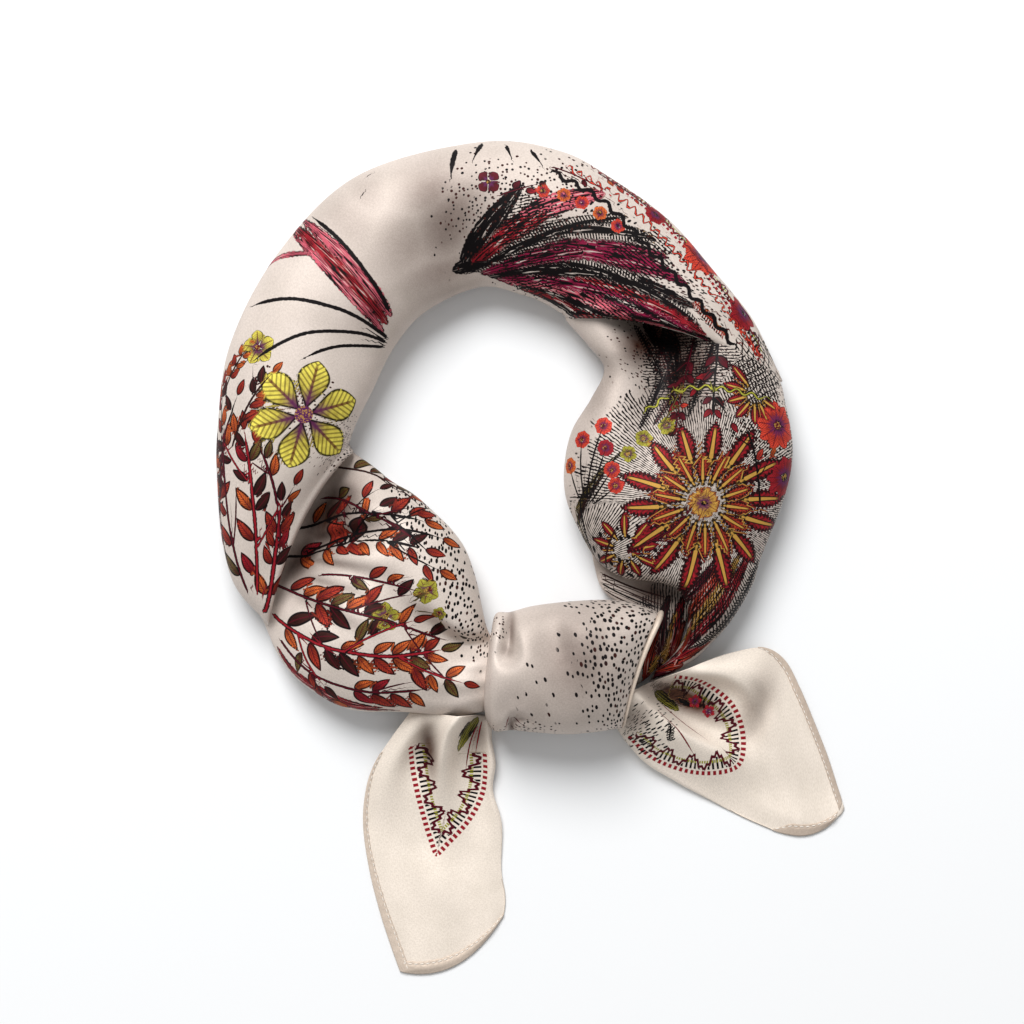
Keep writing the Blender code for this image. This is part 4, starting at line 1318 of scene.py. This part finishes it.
class drawing:  # one tree of shader nodes
    def __init__(self, tree):
        self.tree = tree

    def add(self, kind, **settings):
        made = self.tree.nodes.new(kind)
        for key, value in settings.items():
            setattr(made, key, value)
        return made

    def feed(self, socket, value):  # a field is linked, a name is an ink, and all else is set
        if isinstance(value, field):
            self.tree.links.new(value.socket, socket)
        else:
            socket.default_value = (*inks[value], 1) if isinstance(value, str) else value

    def place(self, kind, output, inputs, **settings):
        made = self.add(kind, **settings)
        for name, value in inputs.items():
            self.feed(made.inputs[name], value)
        return field(self, made.outputs[output])

    def calc(self, operation, *values):
        return self.place("ShaderNodeMath", 0, dict(enumerate(values)), operation=operation)

    def blend(self, share, first, second, kind="MIX"):
        given = {"Factor": share, "A": first, "B": second}
        return self.place("ShaderNodeMix", "Result", given, data_type="RGBA", blend_type=kind)

    def read(self, name, part="Fac"):
        return self.place("ShaderNodeAttribute", part, {}, attribute_name=name)

    def parts(self, vector):
        made = self.place("ShaderNodeSeparateXYZ", 0, {0: vector}).socket.node
        return [field(self, socket) for socket in made.outputs]

    def joined(self, x, y):
        return self.place("ShaderNodeCombineXYZ", 0, {0: x, 1: y})

    def grain(self, vector, scale, detail=2.0):
        return self.place("ShaderNodeTexNoise", "Fac", {"Vector": vector, "Scale": scale, "Detail": detail})

    def flat(self):  # the cloth's own flat measure
        return self.place("ShaderNodeUVMap", 0, {}, uv_map="flatCloth")


def newGroup(name, values=()):
    tree = bpy.data.node_groups.new(name, "ShaderNodeTree")
    tree.interface.new_socket("Ground", in_out="INPUT", socket_type="NodeSocketColor")
    tree.interface.new_socket("Colour", in_out="OUTPUT", socket_type="NodeSocketColor")
    for label in values:
        tree.interface.new_socket(label, in_out="OUTPUT", socket_type="NodeSocketFloat")
    art = drawing(tree)
    return art, art.place("NodeGroupInput", "Ground", {}), art.add("NodeGroupOutput").inputs


def strokeGroup():  # broad brush strokes, and the border band of the corners
    art, ground, out = newGroup("brushStrokes")
    along, across, edge = art.parts(art.read("strokeSpot", "Vector"))
    ink, kind = art.read("strokeInk", "Color"), art.read("strokeInk", "Alpha")
    streak = art.grain(art.joined(along * 0.05, across * 2.6), 1.7, 3.0)
    rough = art.grain(art.joined(along, across), 0.8)
    ragged = edge + (rough - 0.5) * 1.6
    dark = art.blend(streak.step(0.50, 0.47), ink, "black")
    both = art.blend(streak.step(0.60, 0.63), dark, art.blend(0.6, ink, ground))
    both = art.blend(streak.step(0.66, 0.68), both, ground)
    slanted = along + across * 0.9
    tooth = (slanted / 1.15).by("FRACT").step(0.62, 0.52) * abs(across).step(0.25, 0.35)
    toothed = art.blend(tooth, ground, both)
    both = art.blend(kind.step(0.1, 0.2) * abs(across).step(0.3, 0.4), both, toothed)
    both = art.blend(ragged.step(-0.5, -0.35) * rough.step(0.44, 0.5), both, "black")
    colour = art.blend(ragged.step(0.12, -0.12) * kind.step(0.65, 0.55), ground, both)
    # the border: a row of short crimson dashes, lobes of slanted black ones, olive dashes and a wavy line
    band = kind.step(0.75, 0.85) * edge.step(0.1, 0.0)
    across = across * 2.0 - 1.0

    def row(low, high, pulse, tint, base):
        inside = across.step(low - 0.02, low + 0.02) * across.step(high + 0.02, high - 0.02)
        return art.blend(inside * pulse * band, base, tint)

    colour = row(-0.98, -0.64, (along / 2.3).by("FRACT").step(0.58, 0.50), "crimson", colour)
    turn = along * 0.54
    reach = turn.by("COSINE") * -0.48 + 0.10
    inside = across.step(-0.54, -0.50) * (reach - across).step(0.16, 0.2)
    colour = art.blend(inside * (slanted / 1.95).by("FRACT").step(0.5, 0.43) * band, colour, "black")
    colour = row(-0.02, 0.20, (along / 1.1).by("FRACT").step(0.66, 0.58), "green", colour)
    ripple = along * 2.8
    wave = reach + ripple.by("SINE") * 0.085
    steep = turn.by("SINE") * 1.56 + ripple.by("COSINE") * 1.43
    slant = (steep * steep + 1.0).by("SQRT")  # keeps the line as wide where it is steep
    colour = art.blend((abs(across - wave) / slant).step(0.12, 0.09) * band, colour, "burgundy")
    art.feed(out["Colour"], colour)
    return art.tree


def dotGroup():  # the painted shade, then dots, dashes, hatching and lattice where the areas ask for them
    art, ground, out = newGroup("dotsAndDashes")
    # painted shade: where the points ask for it, the ground is darkened towards a deep brown, with a faint
    # mottle
    shadedGround = art.blend(1.0, ground, (0.09, 0.04, 0.026, 1), "MULTIPLY")
    flat = art.flat()
    colour = art.blend(art.read("paintedShade") * (art.grain(flat, 2.5) * 0.2 + 0.9), ground, shadedGround)
    areas = [*art.parts(art.read("areas", "Vector")), art.read("areas", "Alpha")]
    x, y, _ = art.parts(flat)
    for kind, lean, stretch, scale, size, browner in (
        (dotted, 0, 1.0, 6.2, 0.30, 0.5),
        (dashed, 0.25, 0.6, 5.7, 0.29, 0.9),
    ):
        given = {"Vector": art.joined(x + y * lean, y * stretch), "Scale": scale, "Randomness": 0.8}
        distance = art.place("ShaderNodeTexVoronoi", "Distance", given, feature="F1", voronoi_dimensions="2D")
        chosen = art.parts(field(art, distance.socket.node.outputs["Color"]))
        shown = (areas[kind] - chosen[0]).step(0.0, 0.02)
        inside = (distance - (chosen[1] * 0.5 + 0.7) * size).step(0.03, -0.03)
        tinted = art.blend(chosen[2].step(browner, browner + 0.02), "black", "brown")
        colour = art.blend(inside * shown, colour, tinted)
    lines = abs((art.read("hatch") + (art.grain(flat, 3.0) - 0.5) * 1.1).by("FRACT") - 0.5)
    pen = lines + (art.grain(flat, 6.0) - 0.5) * 0.7 - 0.21
    wanted = (areas[hatched] - art.grain(flat, 2.2) * 0.9).step(0.0, 0.05)
    colour = art.blend(pen.step(0.05, -0.05) * wanted, colour, "black")
    wobble = art.grain(flat, 2.0) * 0.8
    rising, falling = (abs((x * 3.6 + y * slope + wobble).by("FRACT") - 0.5) for slope in (2.75, -3.75))
    lattice = rising.step(0.13, 0.09).by("MAXIMUM", falling.step(0.13, 0.09))
    colour = art.blend(lattice * areas[latticed].step(0.3, 0.4), colour, "black")
    art.feed(out["Colour"], colour)
    return art.tree


def leafGroup():  # leaves and petals, a flower's heart, and stems over them
    art, ground, out = newGroup("leavesAndStems")
    lineSide, lineGap, _ = art.parts(art.read("lineSpot", "Vector"))
    t, side, edge = art.parts(art.read("leafSpot", "Vector"))
    ink, kind = art.read("leafInk", "Color"), art.read("leafInk", "Alpha")
    place = art.place("ShaderNodeTexCoord", "Object", {})
    rough = art.grain(place, 900)
    far = abs(side)
    bow = t.by("MAXIMUM", 0.0001).by("MINIMUM", 0.9999).by("POWER", kind * 0.8 + 0.8)
    shape = (bow * math.pi).by("SINE").by("MAXIMUM", 0.0001).by("POWER", 0.8)
    isFrond = kind.near(frond)
    isPetal = kind.step(0.85, 0.95)
    barb = ((t - far * 0.12) * 13.0).by("FRACT")
    room = shape - far - barb * isFrond * 0.24
    inside = room.step(-0.03, 0.03) * edge.step(0.45, 0.3) * abs(t - 0.5).step(0.505, 0.495)
    patchy = t + (art.grain(place, 420) - 0.5) * 0.9
    base = art.blend(patchy.step(0.05, 0.85), (0.34, 0.26, 0.3, 1), (1.3, 1.3, 1.25, 1))
    fill = art.blend(1.0, ink, base, "MULTIPLY")
    fill = art.blend(((t - far * 0.28) * 9.0).by("FRACT").step(0.46, 0.32) * 0.6, fill, "brown")
    fill = art.blend(far.step(0.11, 0.06) * t.step(0.95, 0.85) * 0.8, fill, "burgundy")
    slim = far + t * 0.16
    fill = art.blend(isFrond * (slim.step(0.36, 0.30) * t.step(0.88, 0.8)), fill, "black")
    fill = art.blend(isFrond * (slim.step(0.26, 0.20) * t.step(0.86, 0.78)), fill, "gold")
    fill = art.blend(isPetal * (t + far * 0.5).step(0.62, 0.3) * 0.75, fill, "plum")
    fill = art.blend((room + isPetal * 0.18).step(0.36, 0.28) * rough.step(0.30, 0.40) * 0.94, fill, "black")
    colour = art.blend(inside, ground, fill)
    isHeart = art.read("strokeInk", "Alpha").near(flowerHeart)
    heart = isHeart * art.parts(art.read("strokeSpot", "Vector"))[2].step(0.15, -0.1)
    seeds = art.grain(place, 1400, 1.0).step(0.52, 0.56) * 0.7
    colour = art.blend(heart, colour, art.blend(seeds, art.read("strokeInk", "Color"), "gold"))
    thin = abs(lineSide) + (rough - 0.5) * 0.8
    rind = art.blend(thin.step(0.35, 0.5) * 0.94, art.read("lineInk", "Color"), "black")
    colour = art.blend(thin.step(1.1, 0.85) * lineGap.step(2.2, 1.8), colour, rind)
    art.feed(out["Colour"], colour)
    return art.tree


silk = {"metallic": 0.18, "roughness": 0.48, "specular": 0.12, "grainStrength": 0.25, "grainDepth": 0.2}


def weaveGroup():  # the fine satin grain, and a slow change of tone
    art, ground, out = newGroup("satinWeave", ("Height", "Roughness"))
    flat = art.flat()
    x, y, _ = art.parts(flat)
    thread = art.grain(art.joined(x * 0.35, y), 30, 1.0)
    weft = art.grain(art.joined(x, y * 0.4), 22, 1.0)
    height = thread * 0.6 + weft * 0.4
    slow = art.grain(flat, 0.7, 3.0)
    tone = art.blend(slow.step(0.3, 0.7), (0.94, 0.93, 0.92, 1), (1.04, 1.03, 1.03, 1))
    fine = art.blend(height.step(0.38, 0.62), (0.90, 0.895, 0.89, 1), (1.06, 1.06, 1.06, 1))
    art.feed(out["Colour"], art.blend(1.0, art.blend(1.0, ground, tone, "MULTIPLY"), fine, "MULTIPLY"))
    art.feed(out["Height"], height)
    art.feed(out["Roughness"], slow * 0.1 + silk["roughness"])
    return art.tree


groups = {"strokes": strokeGroup(), "dots": dotGroup(), "leaves": leafGroup(), "weave": weaveGroup()}


def silkMaterial(name, ground, layers):
    made = bpy.data.materials.new(name)
    made.use_nodes = True
    art = drawing(made.node_tree)
    shader = made.node_tree.nodes["Principled BSDF"]
    colour = (*ground, 1)
    for layer in layers:
        colour = art.place("ShaderNodeGroup", "Colour", {"Ground": colour}, node_tree=groups[layer])
    height, roughness = (field(art, colour.socket.node.outputs[label]) for label in ("Height", "Roughness"))
    given = {"Strength": silk["grainStrength"], "Distance": silk["grainDepth"] * mm, "Height": height}
    for label, value in (
        ("Base Color", colour),
        ("Roughness", roughness),
        ("Normal", art.place("ShaderNodeBump", "Normal", given)),
        ("Metallic", silk["metallic"]),
        ("Specular IOR Level", silk["specular"]),
    ):
        art.feed(shader.inputs[label], value)
    return made


everyLayer = ("strokes", "dots", "leaves", "weave")  # the last of them is always the weave
for name, ground, layers, pieces in (
    ("printedSilk", (0.64, 0.565, 0.51), everyLayer, (outer, lower, limb, inner, knot)),
    ("cornerSilk", (0.86, 0.775, 0.68), everyLayer, (left, right)),
    ("hemSilk", (0.56, 0.465, 0.385), ("weave",), (rightSideHem, rightEndHem)),
    ("paleHemSilk", (0.65, 0.55, 0.46), ("weave",), (leftSideHem, leftEndHem, knotLip)),
    ("sewingThread", (0.90, 0.86, 0.80), ("weave",), (leftStitches, rightStitches)),
):
    dyed = silkMaterial(name, ground, layers)
    for made in pieces:
        made.data.materials.append(dyed)
print("silk dyed")

studio = {
    "cameraCentre": (-8, 18.5),
    "cameraHeight": 1215,
    "clothLevel": 15,
    "across": 399.4,
    "sensor": 36,
    "floorSize": 3,  # metres
    "floorDrop": 0.2,
    "floorColour": (0.86, 0.87, 0.88),
    "floorRoughness": 0.9,
    "skyStrength": 0.42,
    "keyPlace": (-560, 1850, 2150),
    "keySize": 1700,
    "keyPower": 93,
}


def aimedLight(name, place, size, power):
    lamp = bpy.data.lights.new(name, "AREA")
    lamp.shape = "DISK"
    lamp.size = size * mm
    lamp.energy = power
    made = setDown(name, lamp)
    made.location = Vector(place) * mm
    made.rotation_euler = (-Vector(place)).to_track_quat("-Z", "Y").to_euler()


def makeFloor():
    ground = bmesh.new()
    bmesh.ops.create_grid(ground, x_segments=2, y_segments=2, size=studio["floorSize"])
    mesh = bpy.data.meshes.new("floor")
    ground.to_mesh(mesh)
    ground.free()
    floor = setDown("floor", mesh)
    floor.location.z = -studio["floorDrop"] * mm
    paper = bpy.data.materials.new("paleFloor")
    paper.use_nodes = True
    shader = paper.node_tree.nodes["Principled BSDF"]
    shader.inputs["Base Color"].default_value = (*studio["floorColour"], 1)
    shader.inputs["Roughness"].default_value = studio["floorRoughness"]
    mesh.materials.append(paper)


def makeStudio():
    makeFloor()
    aimedLight("key", studio["keyPlace"], studio["keySize"], studio["keyPower"])
    world = bpy.context.scene.world or bpy.data.worlds.new("world")
    bpy.context.scene.world = world
    world.use_nodes = True
    sky = world.node_tree.nodes["Background"]
    sky.inputs["Color"].default_value = (1.0, 1.0, 1.0, 1)
    sky.inputs["Strength"].default_value = studio["skyStrength"]
    lens = bpy.data.cameras.new("camera")
    lens.sensor_width = studio["sensor"]
    lens.lens = studio["sensor"] * (studio["cameraHeight"] - studio["clothLevel"]) / studio["across"]
    camera = setDown("camera", lens)
    camera.location = Vector((*studio["cameraCentre"], studio["cameraHeight"])) * mm
    bpy.context.scene.camera = camera
    bpy.context.scene.view_settings.view_transform = "Standard"


makeStudio()
print("studio made")
